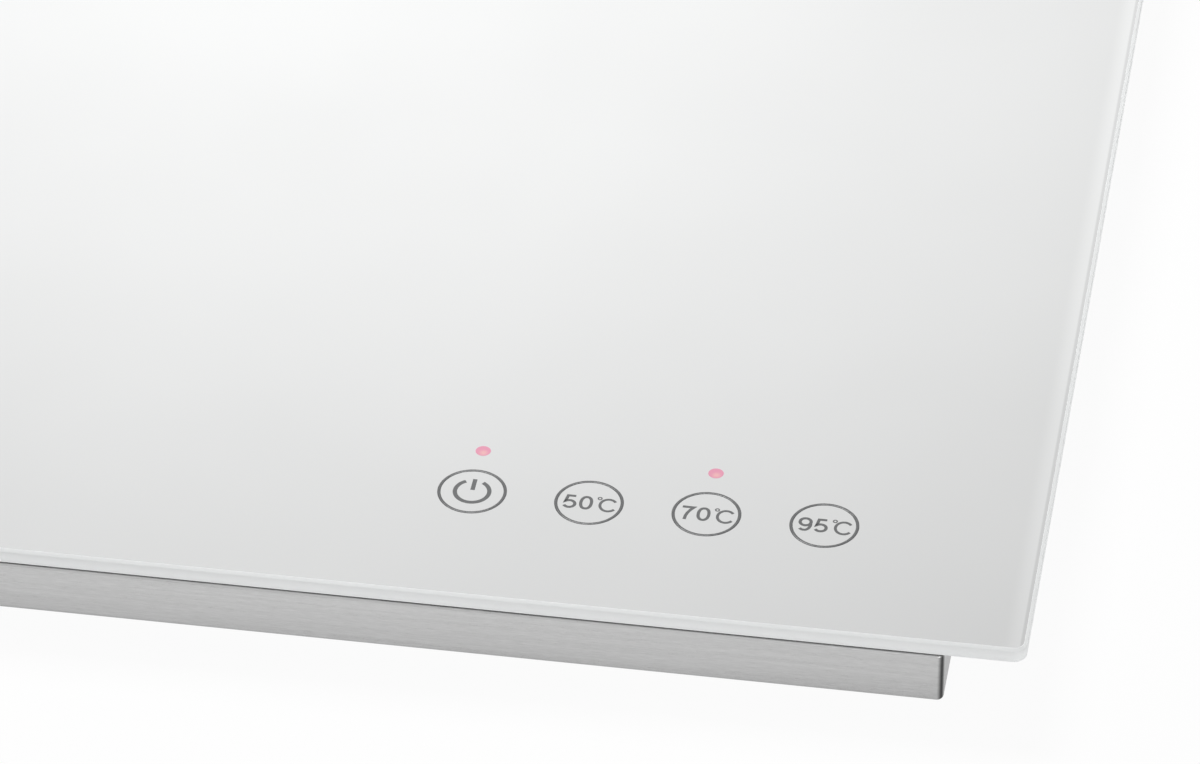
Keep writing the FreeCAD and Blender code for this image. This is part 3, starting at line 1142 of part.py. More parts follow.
def make_thin_leads():
    """The cut-out and the thermal fuse in series, and the sensor's lead, along the mat's channel."""
    level = "Places.terminal_foot + Sizes.lead_level"
    beside = "Sizes.terminal_x + Sizes.thin_lead_diameter / 2 + Sizes.touch_gap"
    back = "Places.cutout_y + Sizes.terminal_width / 2"
    left = f"Sizes.channel_x - ({beside})"
    right = f"Sizes.channel_x + {beside}"
    wire_end = "Sizes.fuse_length / 2 + Sizes.fuse_wire_length + Sizes.touch_gap"
    fuse_left = f"Sizes.channel_x - ({wire_end})"
    fuse_right = f"Sizes.channel_x + {wire_end}"
    block = ("Places.block_front + Sizes.lead_clearance", "Places.block_front - Sizes.lead_in")
    front_way = block_way(3)
    next_way = block_way(2)
    entry = "Places.entry_level"
    fuse = "Places.fuse_level"
    fuse_y = "Places.fuse_y"
    cutout_lead = [(left, back, level), (left, front_way, level), (block[0], front_way, entry),
                   (block[1], front_way, entry)]
    link_lead = [(right, back, level), (right, f"{fuse_y} + Sizes.link_turn", level),
                 (f"{fuse_right} + Sizes.fuse_loop", f"{fuse_y} + Sizes.link_turn / 2", level),
                 (f"{fuse_right} + Sizes.fuse_loop", fuse_y, level),
                 (f"{fuse_right} + Sizes.fuse_loop", fuse_y, fuse), (fuse_right, fuse_y, fuse)]
    fuse_lead = [(fuse_left, fuse_y, fuse), (f"{fuse_left} - Sizes.fuse_loop", fuse_y, fuse),
                 (f"{fuse_left} - Sizes.fuse_loop", fuse_y, level),
                 (f"{fuse_left} - Sizes.fuse_loop", next_way, level), (block[0], next_way, entry),
                 (block[1], next_way, entry)]
    wiring("cutout_leads", [cutout_lead, link_lead, fuse_lead], "Sizes.thin_lead_diameter",
           "Sizes.thin_lead_bend")
    sensor_end = "Sizes.channel_x + Sizes.sensor_length / 2"
    out = f"{sensor_end} + Sizes.sensor_lead_loop"
    sensor_level = "Places.spreader_under - Sizes.sensor_height / 2"
    low = "Places.base_top + Sizes.sensor_lead_level"
    plug_y = "Places.button_row + Sizes.sensor_plug_y"
    inside = "Places.plug_face + Sizes.lead_in"
    sensor_lead = [(f"{sensor_end} - Sizes.lead_in", "Places.sensor_y", sensor_level),
                   (out, "Places.sensor_y", sensor_level), (out, "Places.sensor_y", low), (out, plug_y, low),
                   ("Places.plug_face - Sizes.plug_run", plug_y, "Places.plug_level"),
                   (inside, plug_y, "Places.plug_level")]
    wiring("sensor_lead", [sensor_lead], "Sizes.thin_lead_diameter", "Sizes.thin_lead_bend")


def make_signal_lead():
    start = "Places.power_right - Sizes.power_plug_x"
    y = "Places.power_front + Sizes.power_plug_y"
    level = "Places.power_top + Sizes.plug_height / 2"
    high = f"{level} + Sizes.signal_rise"
    plug_y = "Places.button_row + Sizes.signal_plug_y"
    points = [(f"{start} - Sizes.lead_in", y, level), (f"{start} + Sizes.signal_start", y, level),
              (f"{start} + Sizes.signal_start + Sizes.signal_climb", y, high),
              ("Places.power_right + Sizes.signal_past", y, high),
              ("Places.plug_face - 2 * Sizes.plug_run", y, level),
              ("Places.plug_face - Sizes.plug_run", plug_y, "Places.plug_level"),
              ("Places.plug_face + Sizes.lead_in", plug_y, "Places.plug_level")]
    wiring("signal_lead", [points], "Sizes.signal_lead_diameter", "Sizes.lead_bend")


def make_plugs(label, x, y, level, leads, faces_left):
    """Small plugs on a board; each lead enters the end face at x."""
    body = new_body(label, x=x, y=y, z=level)
    low, high = ("0", "Sizes.plug_length") if faces_left else ("-Sizes.plug_length", "0")
    outline = Outline(body, f"{label}_outline")
    bore = Outline(body, f"{label}_bore_outline", plane="YZ_Plane")
    for shift, lead in leads:
        outline.cut_cornered(low, f"{shift} - Sizes.plug_width / 2", high,
                             f"{shift} + Sizes.plug_width / 2", "Sizes.plug_corner")
        bore.ring(shift, "Sizes.plug_height / 2", f"{lead} + 2 * Sizes.touch_gap")
    pad(body, outline, "Sizes.plug_height", f"{label}_blocks")
    pocket(body, bore, "Sizes.lead_in + Sizes.touch_gap", f"{label}_bores", up=faces_left)


def make_board_plugs():
    make_plugs("touch_plugs", "Places.plug_face", "Places.button_row", "Places.touch_top",
               [("Sizes.sensor_plug_y", "Sizes.thin_lead_diameter"),
                ("Sizes.signal_plug_y", "Sizes.signal_lead_diameter")], True)
    make_plugs("power_plug", "Places.power_right - Sizes.power_plug_x",
               "Places.power_front + Sizes.power_plug_y", "Places.power_top",
               [("0", "Sizes.signal_lead_diameter")], False)


def make_board_carrier():
    """A moulded tray that stands on the base plate and carries the touch board on four bosses."""
    height = "(Places.touch_top - Sizes.board_thickness - Places.base_top)"
    out = "Sizes.carrier_margin"
    body = plate("board_carrier", f"Places.touch_left - {out}", f"Places.touch_front - {out}",
                 f"Places.touch_right + {out}", f"Places.touch_rear + {out}",
                 "Sizes.board_corner + Sizes.carrier_margin", height, "Places.base_top")
    wall = "(Sizes.carrier_wall - Sizes.carrier_margin)"
    inside = Outline(body, "carrier_inside_outline", level="Sizes.carrier_floor")
    inside.rounded(f"Places.touch_left + {wall}", f"Places.touch_front + {wall}",
                   f"Places.touch_right - {wall}", f"Places.touch_rear - {wall}", "Sizes.board_corner")
    pocket(body, inside, height, "carrier_inside", up=True)
    bosses = Outline(body, "boss_outline", level="Sizes.carrier_floor")
    for x, y in TOUCH_SCREW_SPOTS:
        bosses.ring(x, y, "Sizes.boss_diameter")
    pad(body, bosses, f"{height} - Sizes.carrier_floor", "bosses")
    ribs = Outline(body, "carrier_rib_outline", level="Sizes.carrier_floor")
    half = "Sizes.carrier_wall / 2"
    for index in (1, 2):
        x = f"Places.touch_left + {index} * (Places.touch_right - Places.touch_left) / 3"
        ribs.rectangle(f"{x} - {half}", f"Places.touch_front + {wall} - {half}", f"{x} + {half}",
                       f"Places.touch_rear - {wall} + {half}")
    pad(body, ribs, f"{height} - Sizes.carrier_floor", "carrier_ribs")
    holes(body, TOUCH_SCREW_SPOTS, "Sizes.board_screw_diameter + 2 * Sizes.pass_gap", height, "boss_holes")


def make_touch_board():
    body = plate("touch_board", "Places.touch_left", "Places.touch_front", "Places.touch_right",
                 "Places.touch_rear", "Sizes.board_corner", "Sizes.board_thickness",
                 "Places.touch_top - Sizes.board_thickness")
    holes(body, TOUCH_SCREW_SPOTS, "Sizes.board_screw_diameter + 2 * Sizes.pass_gap",
          "Sizes.board_thickness", "touch_board_holes")
    screws("touch_board_screws", TOUCH_SCREW_SPOTS, "Places.touch_top", "Sizes.board_head_diameter",
           "Sizes.board_head_height", "Sizes.board_screw_diameter", "Places.touch_top - Places.base_under",
           head_up=True)


def make_touch_springs():
    """Coil springs that stand on the board and press on the glass under each touch mark."""
    wire = number("Sizes.spring_wire")
    turns = int(number("Sizes.spring_turns"))
    radius = (number("Sizes.spring_diameter") - wire) / 2
    gap = number("Sizes.touch_gap")
    low = number("Places.touch_top") + wire / 2 + gap
    high = number("Places.glass_under") - wire / 2 - gap
    pitch = (high - low) / turns
    runs = 4 * BEND_RUNS
    places_on_helix = []
    for step in range(runs * turns + 1):
        angle = 2 * math.pi * step / runs
        places_on_helix.append(FreeCAD.Vector(radius * math.cos(angle), radius * math.sin(angle),
                                              low + pitch * step / runs))
    coil = tube(Part.makePolygon(places_on_helix), wire)
    print(f"touch spring: least gap between turns {pitch - wire:.2f} mm")
    springs = document.addObject("Part::Feature", "touch_springs")
    springs.Label = "touch_springs"
    springs.Shape = Part.makeCompound([coil.translated(FreeCAD.Vector(number(x), number(y), 0))
                                       for x, y in button_spots("Places.button_row")])
    springs.Placement = FreeCAD.Placement()
    sub_parts.append(springs)


def make_indicator_lamps():
    body = new_body("indicator_lamps", z="Places.touch_top")
    for name, diameter, height in (("collars", "Sizes.lamp_base_diameter", "Sizes.lamp_base_height"),
                                   ("domes", "Sizes.lamp_diameter",
                                    "Sizes.lamp_body_height + Sizes.lamp_diameter / 2")):
        outline = Outline(body, f"lamp_{name}_outline")
        for x, y in button_spots("Places.lamp_row"):
            outline.ring(x, y, diameter)
        pad(body, outline, height, f"lamp_{name}")
    eased(body, "Chamfer", "lamp_round", "Sizes.lamp_bevel",
          level_with("Sizes.lamp_body_height + Sizes.lamp_diameter / 2"))


def make_lamp_shroud():
    """Light wells round the lamps, joined by a bar, so that each lights only its own spot."""
    body = new_body("lamp_shroud", z="Places.touch_top")
    spots = button_spots("Places.lamp_row")
    wells = Outline(body, "well_outline")
    for x, y in spots:
        wells.ring(x, y, "Sizes.shroud_bore + 2 * Sizes.shroud_wall")
    height = "Sizes.touch_height - Sizes.shroud_glass_gap"
    pad(body, wells, height, "wells")
    bar = Outline(body, "bar_outline")
    bar.rectangle("Places.first_button", "Places.lamp_row - Sizes.shroud_bar_width / 2",
                  "Places.last_button", "Places.lamp_row + Sizes.shroud_bar_width / 2")
    pad(body, bar, "Sizes.shroud_bar_height", "bar")
    holes(body, spots, "Sizes.shroud_bore", height, "well_bores")


def make_touch_chip():
    body = new_body("touch_chip", x="(Places.touch_left + Places.touch_right) / 2",
                    y="Places.button_row", z="Places.touch_top")
    outline = Outline(body, "chip_outline", level="Sizes.chip_lift")
    outline.rectangle("-Sizes.chip_length / 2", "-Sizes.chip_width / 2", "Sizes.chip_length / 2",
                      "Sizes.chip_width / 2")
    pad(body, outline, "Sizes.chip_height", "chip_block")
    legs = Outline(body, "leg_outline")
    first = "-(Sizes.chip_legs - 1) / 2 * Sizes.chip_leg_pitch"
    legs.rectangle(f"{first} - Sizes.chip_leg_width / 2", "-Sizes.chip_width / 2 - Sizes.chip_leg_reach",
                   f"{first} + Sizes.chip_leg_width / 2", "Sizes.chip_width / 2 + Sizes.chip_leg_reach")
    leg = pad(body, legs, "Sizes.chip_leg_thickness", "leg")
    row_of(body, leg, "leg_row", "X_Axis", "Sizes.chip_legs", "Sizes.chip_leg_pitch")


def make_power_board():
    body = plate("power_board", "Places.power_left", "Places.power_front", "Places.power_right",
                 "Places.power_rear", "Sizes.board_corner", "Sizes.board_thickness",
                 "Places.power_top - Sizes.board_thickness")
    clear = "Sizes.board_screw_diameter + 2 * Sizes.pass_gap"
    holes(body, POWER_SCREW_SPOTS, clear, "Sizes.board_thickness", "power_board_holes")
    screws("power_board_screws", POWER_SCREW_SPOTS, "Places.power_top", "Sizes.board_head_diameter",
           "Sizes.board_head_height", "Sizes.board_screw_diameter", "Places.power_top - Places.base_under",
           head_up=True)
    standoffs = new_body("board_standoffs", z="Places.base_top")
    outline = Outline(standoffs, "standoff_outline")
    for x, y in POWER_SCREW_SPOTS:
        outline.hexagon(x, y, "Sizes.standoff_flats")
        outline.ring(x, y, clear)
    pad(standoffs, outline, "Sizes.standoff_height", "standoffs")


def on_power_board(label, x, y, lift="0"):
    return new_body(label, x=f"Sizes.power_x + {x}", y=f"Places.power_y + {y}",
                    z=f"Places.power_top + {lift}")


def make_transformer():
    """An E-core stood on the board, with its winding round the middle limb."""
    core = on_power_board("transformer_core", "Sizes.core_x", "0")
    outline = Outline(core, "core_outline")
    outline.rectangle("-Sizes.core_length / 2", "-Sizes.core_depth / 2", "Sizes.core_length / 2",
                      "Sizes.core_depth / 2")
    pad(core, outline, "Sizes.core_height", "core_block")
    windows = Outline(core, "core_window_outline", plane="XZ_Plane")
    for sign in (-1, 1):
        inner = f"{sign} * Sizes.core_limb"
        outer = f"{sign} * (Sizes.core_length / 2 - Sizes.core_limb)"
        ends = (outer, inner) if sign < 0 else (inner, outer)
        windows.rectangle(ends[0], "Sizes.core_limb", ends[1], "Sizes.core_height - Sizes.core_limb")
    pocket(core, windows, "Sizes.core_depth + 2 * Sizes.cut_past", "core_windows", middle=True)
    winding = on_power_board("transformer_bobbin", "Sizes.core_x", "0")
    gap = "Sizes.winding_gap"
    outside = Outline(winding, "winding_outline", level=f"Sizes.core_limb + {gap}")
    reach = f"Sizes.core_length / 2 - Sizes.core_limb - {gap}"
    outside.cut_cornered(f"-({reach})", "-Sizes.core_depth / 2 - Sizes.winding_overhang", reach,
                         "Sizes.core_depth / 2 + Sizes.winding_overhang", "Sizes.winding_corner")
    outside.rectangle(f"-Sizes.core_limb - {gap}", f"-Sizes.core_depth / 2 - {gap}",
                      f"Sizes.core_limb + {gap}", f"Sizes.core_depth / 2 + {gap}")
    pad(winding, outside, f"Sizes.core_height - 2 * Sizes.core_limb - 2 * {gap}", "winding")


def make_capacitors():
    box = on_power_board("filter_capacitor", "Sizes.x_capacitor_x", "Sizes.x_capacitor_y")
    outline = Outline(box, "filter_outline")
    outline.cut_cornered("-Sizes.x_capacitor_width / 2", "-Sizes.x_capacitor_length / 2",
                         "Sizes.x_capacitor_width / 2", "Sizes.x_capacitor_length / 2",
                         "Sizes.x_capacitor_corner")
    pad(box, outline, "Sizes.x_capacitor_height", "filter_block")
    can = on_power_board("bulk_capacitor", "Sizes.can_x", "0", "Sizes.can_diameter / 2 + Sizes.touch_gap")
    profile = Outline(can, "can_profile")
    radius = "Sizes.can_diameter / 2"
    end = "Sizes.can_length / 2"
    start = f"-{end} + Sizes.can_groove_start"
    profile.polygon([("0", f"-{end}"), (f"{radius} - Sizes.can_edge", f"-{end}"),
                     (radius, f"-{end} + Sizes.can_edge"), (radius, start),
                     (f"{radius} - Sizes.can_groove", f"{start} + Sizes.can_groove"),
                     (radius, f"{start} + 2 * Sizes.can_groove"), (radius, end), ("0", end)])
    turned(can, profile, "can_body")


def make_triac():
    sink = on_power_board("triac_heatsink", "Sizes.sink_x", "Sizes.sink_y")
    profile = Outline(sink, "sink_profile", plane="XZ_Plane")
    half = "Sizes.sink_width / 2"
    profile.rectangle(f"-{half}", "0", half, "Sizes.sink_base")
    pad(sink, profile, "Sizes.sink_depth", "sink_foot", middle=True)
    fins = Outline(sink, "fin_outline", plane="XZ_Plane")
    for side in (-1, 1):
        for step in (0, 1):
            edge = f"{side} * ({half} - {step} * Sizes.sink_fin_pitch)"
            inner = f"{side} * ({half} - {step} * Sizes.sink_fin_pitch - Sizes.sink_fin)"
            low, high = (edge, inner) if side < 0 else (inner, edge)
            fins.rectangle(low, "Sizes.sink_base / 2", high, "Sizes.sink_height")
    pad(sink, fins, "Sizes.sink_depth", "fins", middle=True)
    triac = on_power_board("control_triac", "Sizes.sink_x", "Sizes.sink_y", "Sizes.sink_base")
    width = "Sizes.triac_width / 2"
    tab = Outline(triac, "tab_outline")
    tab.rectangle(f"-{width}", "0", width, "Sizes.triac_tab")
    tab.ring("0", "Sizes.triac_tab / 2", "Sizes.screw_diameter")
    pad(triac, tab, "Sizes.triac_tab_thickness", "tab")
    block = Outline(triac, "triac_outline")
    block.rectangle(f"-{width}", "-Sizes.triac_body", width, "0")
    pad(triac, block, "Sizes.triac_height", "triac_block")
    leg = Outline(triac, "triac_leg_outline", level="Sizes.triac_height / 2")
    leg.rectangle("-Sizes.triac_leg_pitch - Sizes.triac_leg / 2",
                  "-Sizes.triac_body - Sizes.triac_leg_length",
                  "-Sizes.triac_leg_pitch + Sizes.triac_leg / 2", "-Sizes.triac_body + Sizes.triac_leg")
    feature = pad(triac, leg, "Sizes.triac_leg / 2", "triac_leg")
    row_of(triac, feature, "triac_legs", "X_Axis", "3", "Sizes.triac_leg_pitch")


def make_mains_fuse():
    lift = "Sizes.holder_height / 2"
    body = on_power_board("mains_fuse", "Sizes.mains_fuse_x", "Sizes.mains_fuse_y", lift)
    glass = Outline(body, "fuse_glass_outline", plane="YZ_Plane")
    glass.ring("0", "0", "Sizes.fuse_tube_diameter")
    pad(body, glass, "Sizes.fuse_tube_length", "fuse_glass", middle=True)
    for name, end, down in (("left_cap", "-Sizes.fuse_tube_length / 2", False),
                            ("right_cap", "Sizes.fuse_tube_length / 2", True)):
        cap = Outline(body, f"{name}_outline", plane="YZ_Plane", level=end)
        cap.ring("0", "0", "Sizes.fuse_tube_diameter + 2 * Sizes.fuse_end_wall")
        pad(body, cap, "Sizes.fuse_end_length", name, down=down)
    clips = on_power_board("fuse_holder", "Sizes.mains_fuse_x", "Sizes.mains_fuse_y")
    bore = "Sizes.fuse_tube_diameter + 2 * Sizes.fuse_end_wall + 2 * Sizes.touch_gap"
    for sign, name in ((-1, "left"), (1, "right")):
        outline = Outline(clips, f"{name}_clip_outline")
        middle = f"{sign} * (Sizes.fuse_tube_length / 2 - Sizes.fuse_end_length / 2)"
        outline.rectangle(f"{middle} - Sizes.holder_depth / 2", "-Sizes.holder_width / 2 - Sizes.holder_wall",
                          f"{middle} + Sizes.holder_depth / 2", "Sizes.holder_width / 2 + Sizes.holder_wall")
        pad(clips, outline, "Sizes.holder_height", f"{name}_clip")
    tunnel = Outline(clips, "clip_bore_outline", plane="YZ_Plane")
    tunnel.ring("0", lift, bore)
    pocket(clips, tunnel, "2 * Sizes.fuse_tube_length", "clip_bores", middle=True)
    mouth = Outline(clips, "clip_mouth_outline", level=lift)
    mouth.rectangle("-Sizes.fuse_tube_length", "-Sizes.holder_mouth / 2", "Sizes.fuse_tube_length",
                    "Sizes.holder_mouth / 2")
    pocket(clips, mouth, "Sizes.holder_height", "clip_mouths", up=True)


def make_terminal_block():
    body = new_body("terminal_block", x="Places.block_front", y="Places.block_y", z="Places.power_top")
    half = "(Sizes.block_ways * Sizes.block_pitch / 2)"

    def top_front_edge(edge):
        box = edge.BoundBox
        return box.XMin > -1e-5 and box.ZMin > number("Sizes.block_height") - 1e-5

    outline = Outline(body, "block_outline")
    outline.rectangle("-Sizes.block_depth", f"-{half}", "0", half)
    pad(body, outline, "Sizes.block_height", "block")
    eased(body, "Chamfer", "block_edge", "Sizes.block_bevel", top_front_edge)
    first = f"-{half} + Sizes.block_pitch / 2"
    entry = Outline(body, "entry_outline", plane="YZ_Plane")
    entry.rectangle(f"{first} - Sizes.block_entry / 2", "Sizes.block_entry_level",
                    f"{first} + Sizes.block_entry / 2", "Sizes.block_entry_level + Sizes.block_entry")
    row_of(body, pocket(body, entry, "Sizes.block_entry_depth", "entry"), "entries", "Y_Axis",
           "Sizes.block_ways", "Sizes.block_pitch")
    well = Outline(body, "screw_well_outline", level="Sizes.block_height")
    well.ring("-Sizes.block_depth / 2", first, "Sizes.block_screw_diameter + 2 * Sizes.fit_gap")
    row_of(body, pocket(body, well, "Sizes.block_screw_depth", "screw_well"), "screw_wells", "Y_Axis",
           "Sizes.block_ways", "Sizes.block_pitch")
    screws_body = new_body("terminal_screws", x="Places.block_front", y="Places.block_y",
                           z="Places.power_top + Sizes.block_height - Sizes.block_screw_depth")
    head = Outline(screws_body, "terminal_screw_outline")
    head.ring("-Sizes.block_depth / 2", first, "Sizes.block_screw_diameter")
    height = "Sizes.block_screw_depth - Sizes.block_screw_recess"
    row_of(screws_body, pad(screws_body, head, height, "terminal_screw"),
           "terminal_screw_row", "Y_Axis", "Sizes.block_ways", "Sizes.block_pitch")


def make_earth_stud():
    spot = [("Sizes.earth_x", "Places.power_front + Sizes.earth_y")]
    screws("earth_stud", spot, "Places.base_under", "Sizes.earth_nut_flats", "Sizes.screw_head_height",
           "Sizes.earth_stud_diameter", "Sizes.earth_stud_length", head_up=False)
    nuts("earth_nut", spot, "Places.base_top", "Sizes.earth_nut_flats", "Sizes.earth_nut_height",
         "Sizes.earth_stud_diameter + 2 * Sizes.thread_gap")


def check_document():
    document.recompute()
    for item in document.Objects:
        if "Invalid" in item.State or "Error" in item.State:
            raise RuntimeError(f"{item.Name} failed: {item.State}")
    for part in sub_parts:
        if part.Shape.isNull() or not part.Shape.isValid():
            raise RuntimeError(f"{part.Label} has no valid shape")


def write_steps():
    os.makedirs("parts", exist_ok=True)
    for part in sub_parts:
        part.Shape.exportStep(f"parts/{part.Label}.step")
    print(f"{len(sub_parts)} sub-parts, {sum(len(part.Shape.Solids) for part in sub_parts)} solids")


fill_sheets()
for make in (make_glass_top, make_glass_seal, make_housing, make_base_plate, make_base_screws, make_feet,
             make_foot_fasteners, make_cord_gland, make_heat_spreader, make_heating_cable, make_cable_foil,
             make_insulation_mat, make_heat_barrier, make_heater_crimps, make_mains_leads, make_sensor,
             make_thermal_fuse, make_fuse_clip, make_cutout_cap, make_cutout_disc, make_cutout_guide,
             make_cutout_pin, make_cutout_case, make_cutout_arm, make_cutout_terminals, make_cutout_bracket,
             make_studs, make_thin_leads, make_signal_lead, make_board_plugs, make_board_carrier,
             make_touch_board, make_touch_springs, make_indicator_lamps, make_lamp_shroud, make_touch_chip,
             make_power_board, make_transformer, make_capacitors, make_triac, make_mains_fuse,
             make_terminal_block, make_earth_stud):
    make()
check_document()
write_steps()
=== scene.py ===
import json
import math

import bmesh
import bpy
from mathutils import Matrix, Vector


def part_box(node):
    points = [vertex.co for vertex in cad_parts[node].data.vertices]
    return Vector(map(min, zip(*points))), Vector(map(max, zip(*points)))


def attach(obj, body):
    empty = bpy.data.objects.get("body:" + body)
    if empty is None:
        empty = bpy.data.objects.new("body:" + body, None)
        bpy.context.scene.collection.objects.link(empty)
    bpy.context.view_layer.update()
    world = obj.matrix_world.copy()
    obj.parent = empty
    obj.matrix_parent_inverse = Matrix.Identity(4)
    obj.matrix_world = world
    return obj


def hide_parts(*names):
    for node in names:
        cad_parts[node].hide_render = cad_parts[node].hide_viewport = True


bl_info = {
    "name": "Food warmer tray",
    "version": (1, 0, 0),
    "blender": (4, 5, 0),
    "location": "3D View > Sidebar > Food warmer",
    "description": "Dresses the glass-topped warming tray and sets its studio",
    "category": "Object",
}

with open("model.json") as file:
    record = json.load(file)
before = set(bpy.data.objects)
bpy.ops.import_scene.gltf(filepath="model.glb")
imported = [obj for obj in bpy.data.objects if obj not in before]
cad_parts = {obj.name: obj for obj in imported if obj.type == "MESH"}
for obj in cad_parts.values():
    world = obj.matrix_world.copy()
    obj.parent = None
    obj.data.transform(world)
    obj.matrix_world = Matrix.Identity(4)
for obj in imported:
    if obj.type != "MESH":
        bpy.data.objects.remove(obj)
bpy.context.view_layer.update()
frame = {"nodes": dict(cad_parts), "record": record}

MM = 0.001
TRAY = "tray"

glass_low, glass_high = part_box("glass_top")
casing_low, casing_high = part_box("housing")
lamps_low, lamps_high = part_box("indicator_lamps")
springs_low, springs_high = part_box("touch_springs")

MARK_COUNT = 4
LAMP_BODY = 3.8 * MM
MARK_PITCH = (lamps_high.x - lamps_low.x - LAMP_BODY) / (MARK_COUNT - 1)
FIRST_MARK_X = (springs_low.x + springs_high.x) / 2 - MARK_PITCH * (MARK_COUNT - 1) / 2
MARK_ROW_Y = (springs_low.y + springs_high.y) / 2
LAMP_ROW_Y = (lamps_low.y + lamps_high.y) / 2
LIT_MARKS = (0, 2)

# Points round a printed circle, and shapes and places of the signs inside it
RING_STEPS = 96
FIGURE_STRETCH = 1.07
FIGURE_STEP = 4.75 * MM
TEXT_REACH = 7.75 * MM
TEXT_DROP = 0.15 * MM
DEGREE_STEP = 1.2 * MM
DEGREE_RADIUS = 0.55 * MM
DEGREE_LINE = 0.42 * MM
UNIT_STEP = 1.35 * MM
POWER_BAR_START = 0.7 * MM
POWER_HALF_GAP = 30

# Limit of a printed line's mitres, and the share of its thickness by which a crossing line is lower
SHARPEST_MITRE = 0.4
CROSSING_DROP = 0.2

# Roundings of the glass plate
CORNER_STEPS = 10
SMALLEST_CORNER = 0.5 * MM
EASE_DROP = 0.55

# Painted shade line and painted band of light along the plate's two ends: places in millimetres, then
# strengths
END_PAINTED_SHADE_START = 1.6
END_PAINTED_SHADE_STOP = 2.3
END_PAINTED_LIGHT_STOP = 7.5
END_PAINTED_SHADE = 0.20
END_PAINTED_LIGHT = 0.10

# Refractive index of the glass
GLASS_IOR = 1.52

# Painted shade on the casing: share of a fold and rim that is fully dark, the fold's tone and the rim's
# share of it
FOLD_SHADE_CORE = 0.25
RIM_SHADE_CORE = 0.1
FOLD_SHADE_TONE = 0.10
RIM_SHADE_SHARE = 0.35

# Points round a turned foot, its radii and its heights
FOOT_STEPS = 48
FOOT_BORE = 1.7 * MM
FOOT_RECESS = 4.5 * MM
FOOT_SEAT = 4 * MM
FOOT_PAD = 9 * MM
FOOT_GROOVE = 0.35 * MM

# Points round a screw, and how much its cross recess narrows to its floor
SCREW_STEPS = 24
RECESS_TAPER = 0.75

# Points nearer to each other than this are made one
WELD_DISTANCE = 1e-7

# The span that a noise texture really fills
NOISE_LOW = 0.3
NOISE_HIGH = 0.7

# Camera as solved from the photo, lights, and how white the table looks
CAMERA_PLACE = (0.4426, -1.8096, 1.3976)
CAMERA_AZIMUTH = math.radians(9.39)
CAMERA_ELEVATION = math.radians(38.19)
CAMERA_ROLL = math.radians(-0.41)
CAMERA_LENS = 220.38
SOFTBOX_PLACE = (0, 0.19, 0.75)
SOFTBOX_SIZE = (0.4, 0.4)
SOFTBOX_POWER = 6.7
FILL_PLACE = (1.2, -1.5, 0.52)
FILL_SIZE = (1.4, 0.6)
FILL_POWER = 8.5
ROOM_LIGHT = 0.16
TABLE_SIZE = 6.0
TABLE_WHITE = 0.95
TABLE_MIRROR = 0.55

OUTSIDE_SLOTS = ("casing_steel", "silicone", "black_nylon")


class FoodWarmerSizes(bpy.types.PropertyGroup):
    """Sizes of the pieces that the looks add to the tray."""

    glass_corner: bpy.props.FloatProperty(
        name="Glass corner", description="Radius of the glass plate's upright corners",
        default=4 * MM, unit="LENGTH")
    top_arris: bpy.props.FloatProperty(
        name="Top arris", description="Ground edge round the top of the glass",
        default=1 * MM, unit="LENGTH")
    bottom_arris: bpy.props.FloatProperty(
        name="Bottom arris", description="Ground edge round the underside of the glass",
        default=0.5 * MM, unit="LENGTH")
    arris_ease: bpy.props.FloatProperty(
        name="Arris ease", description="Polished rounding at both sides of the top arris",
        default=0.35 * MM, unit="LENGTH")
    mark_diameter: bpy.props.FloatProperty(
        name="Touch circle", description="Outer diameter of a printed touch circle",
        default=20.6 * MM, unit="LENGTH")
    mark_line: bpy.props.FloatProperty(
        name="Circle line", description="Line width of a printed touch circle",
        default=0.98 * MM, unit="LENGTH")
    icon_diameter: bpy.props.FloatProperty(
        name="Power mark", description="Outer diameter of the power mark's open ring",
        default=11.5 * MM, unit="LENGTH")
    icon_line: bpy.props.FloatProperty(
        name="Power mark line", description="Line width of the power mark",
        default=1.3 * MM, unit="LENGTH")
    digit_height: bpy.props.FloatProperty(
        name="Figure height", description="Height of the printed figures",
        default=6.2 * MM, unit="LENGTH")
    digit_line: bpy.props.FloatProperty(
        name="Figure line", description="Line width of the printed figures",
        default=0.96 * MM, unit="LENGTH")
    unit_line: bpy.props.FloatProperty(
        name="Unit line", description="Line width of the C",
        default=0.88 * MM, unit="LENGTH")
    print_rise: bpy.props.FloatProperty(
        name="Print rise", description="Height of the marks and lit spots above the glass",
        default=0.02 * MM, unit="LENGTH")
    lamp_spot: bpy.props.FloatProperty(
        name="Lamp spot", description="Diameter of a lit spot on the glass",
        default=4.6 * MM, unit="LENGTH")
    screw_head: bpy.props.FloatProperty(
        name="Screw head", description="Diameter of a base or foot screw's head",
        default=5.6 * MM, unit="LENGTH")
    screw_head_height: bpy.props.FloatProperty(
        name="Screw head height", description="Height of a base or foot screw's head",
        default=1.8 * MM, unit="LENGTH")
    screw_shank: bpy.props.FloatProperty(
        name="Screw shank", description="Diameter of a base or foot screw's shank",
        default=2.9 * MM, unit="LENGTH")
    recess_reach: bpy.props.FloatProperty(
        name="Recess reach", description="Length of one arm of a screw's cross recess",
        default=1.55 * MM, unit="LENGTH")
    recess_width: bpy.props.FloatProperty(
        name="Recess width", description="Width of one arm of a screw's cross recess",
        default=0.75 * MM, unit="LENGTH")
    recess_depth: bpy.props.FloatProperty(
        name="Recess depth", description="Depth of a screw's cross recess",
        default=1.1 * MM, unit="LENGTH")
    casing_fold: bpy.props.FloatProperty(
        name="Casing fold", description="Outer radius of the casing's upright folds",
        default=2 * MM, unit="LENGTH")
    casing_rim: bpy.props.FloatProperty(
        name="Casing rim", description="Height of the bends along the casing's top and bottom",
        default=1.1 * MM, unit="LENGTH")


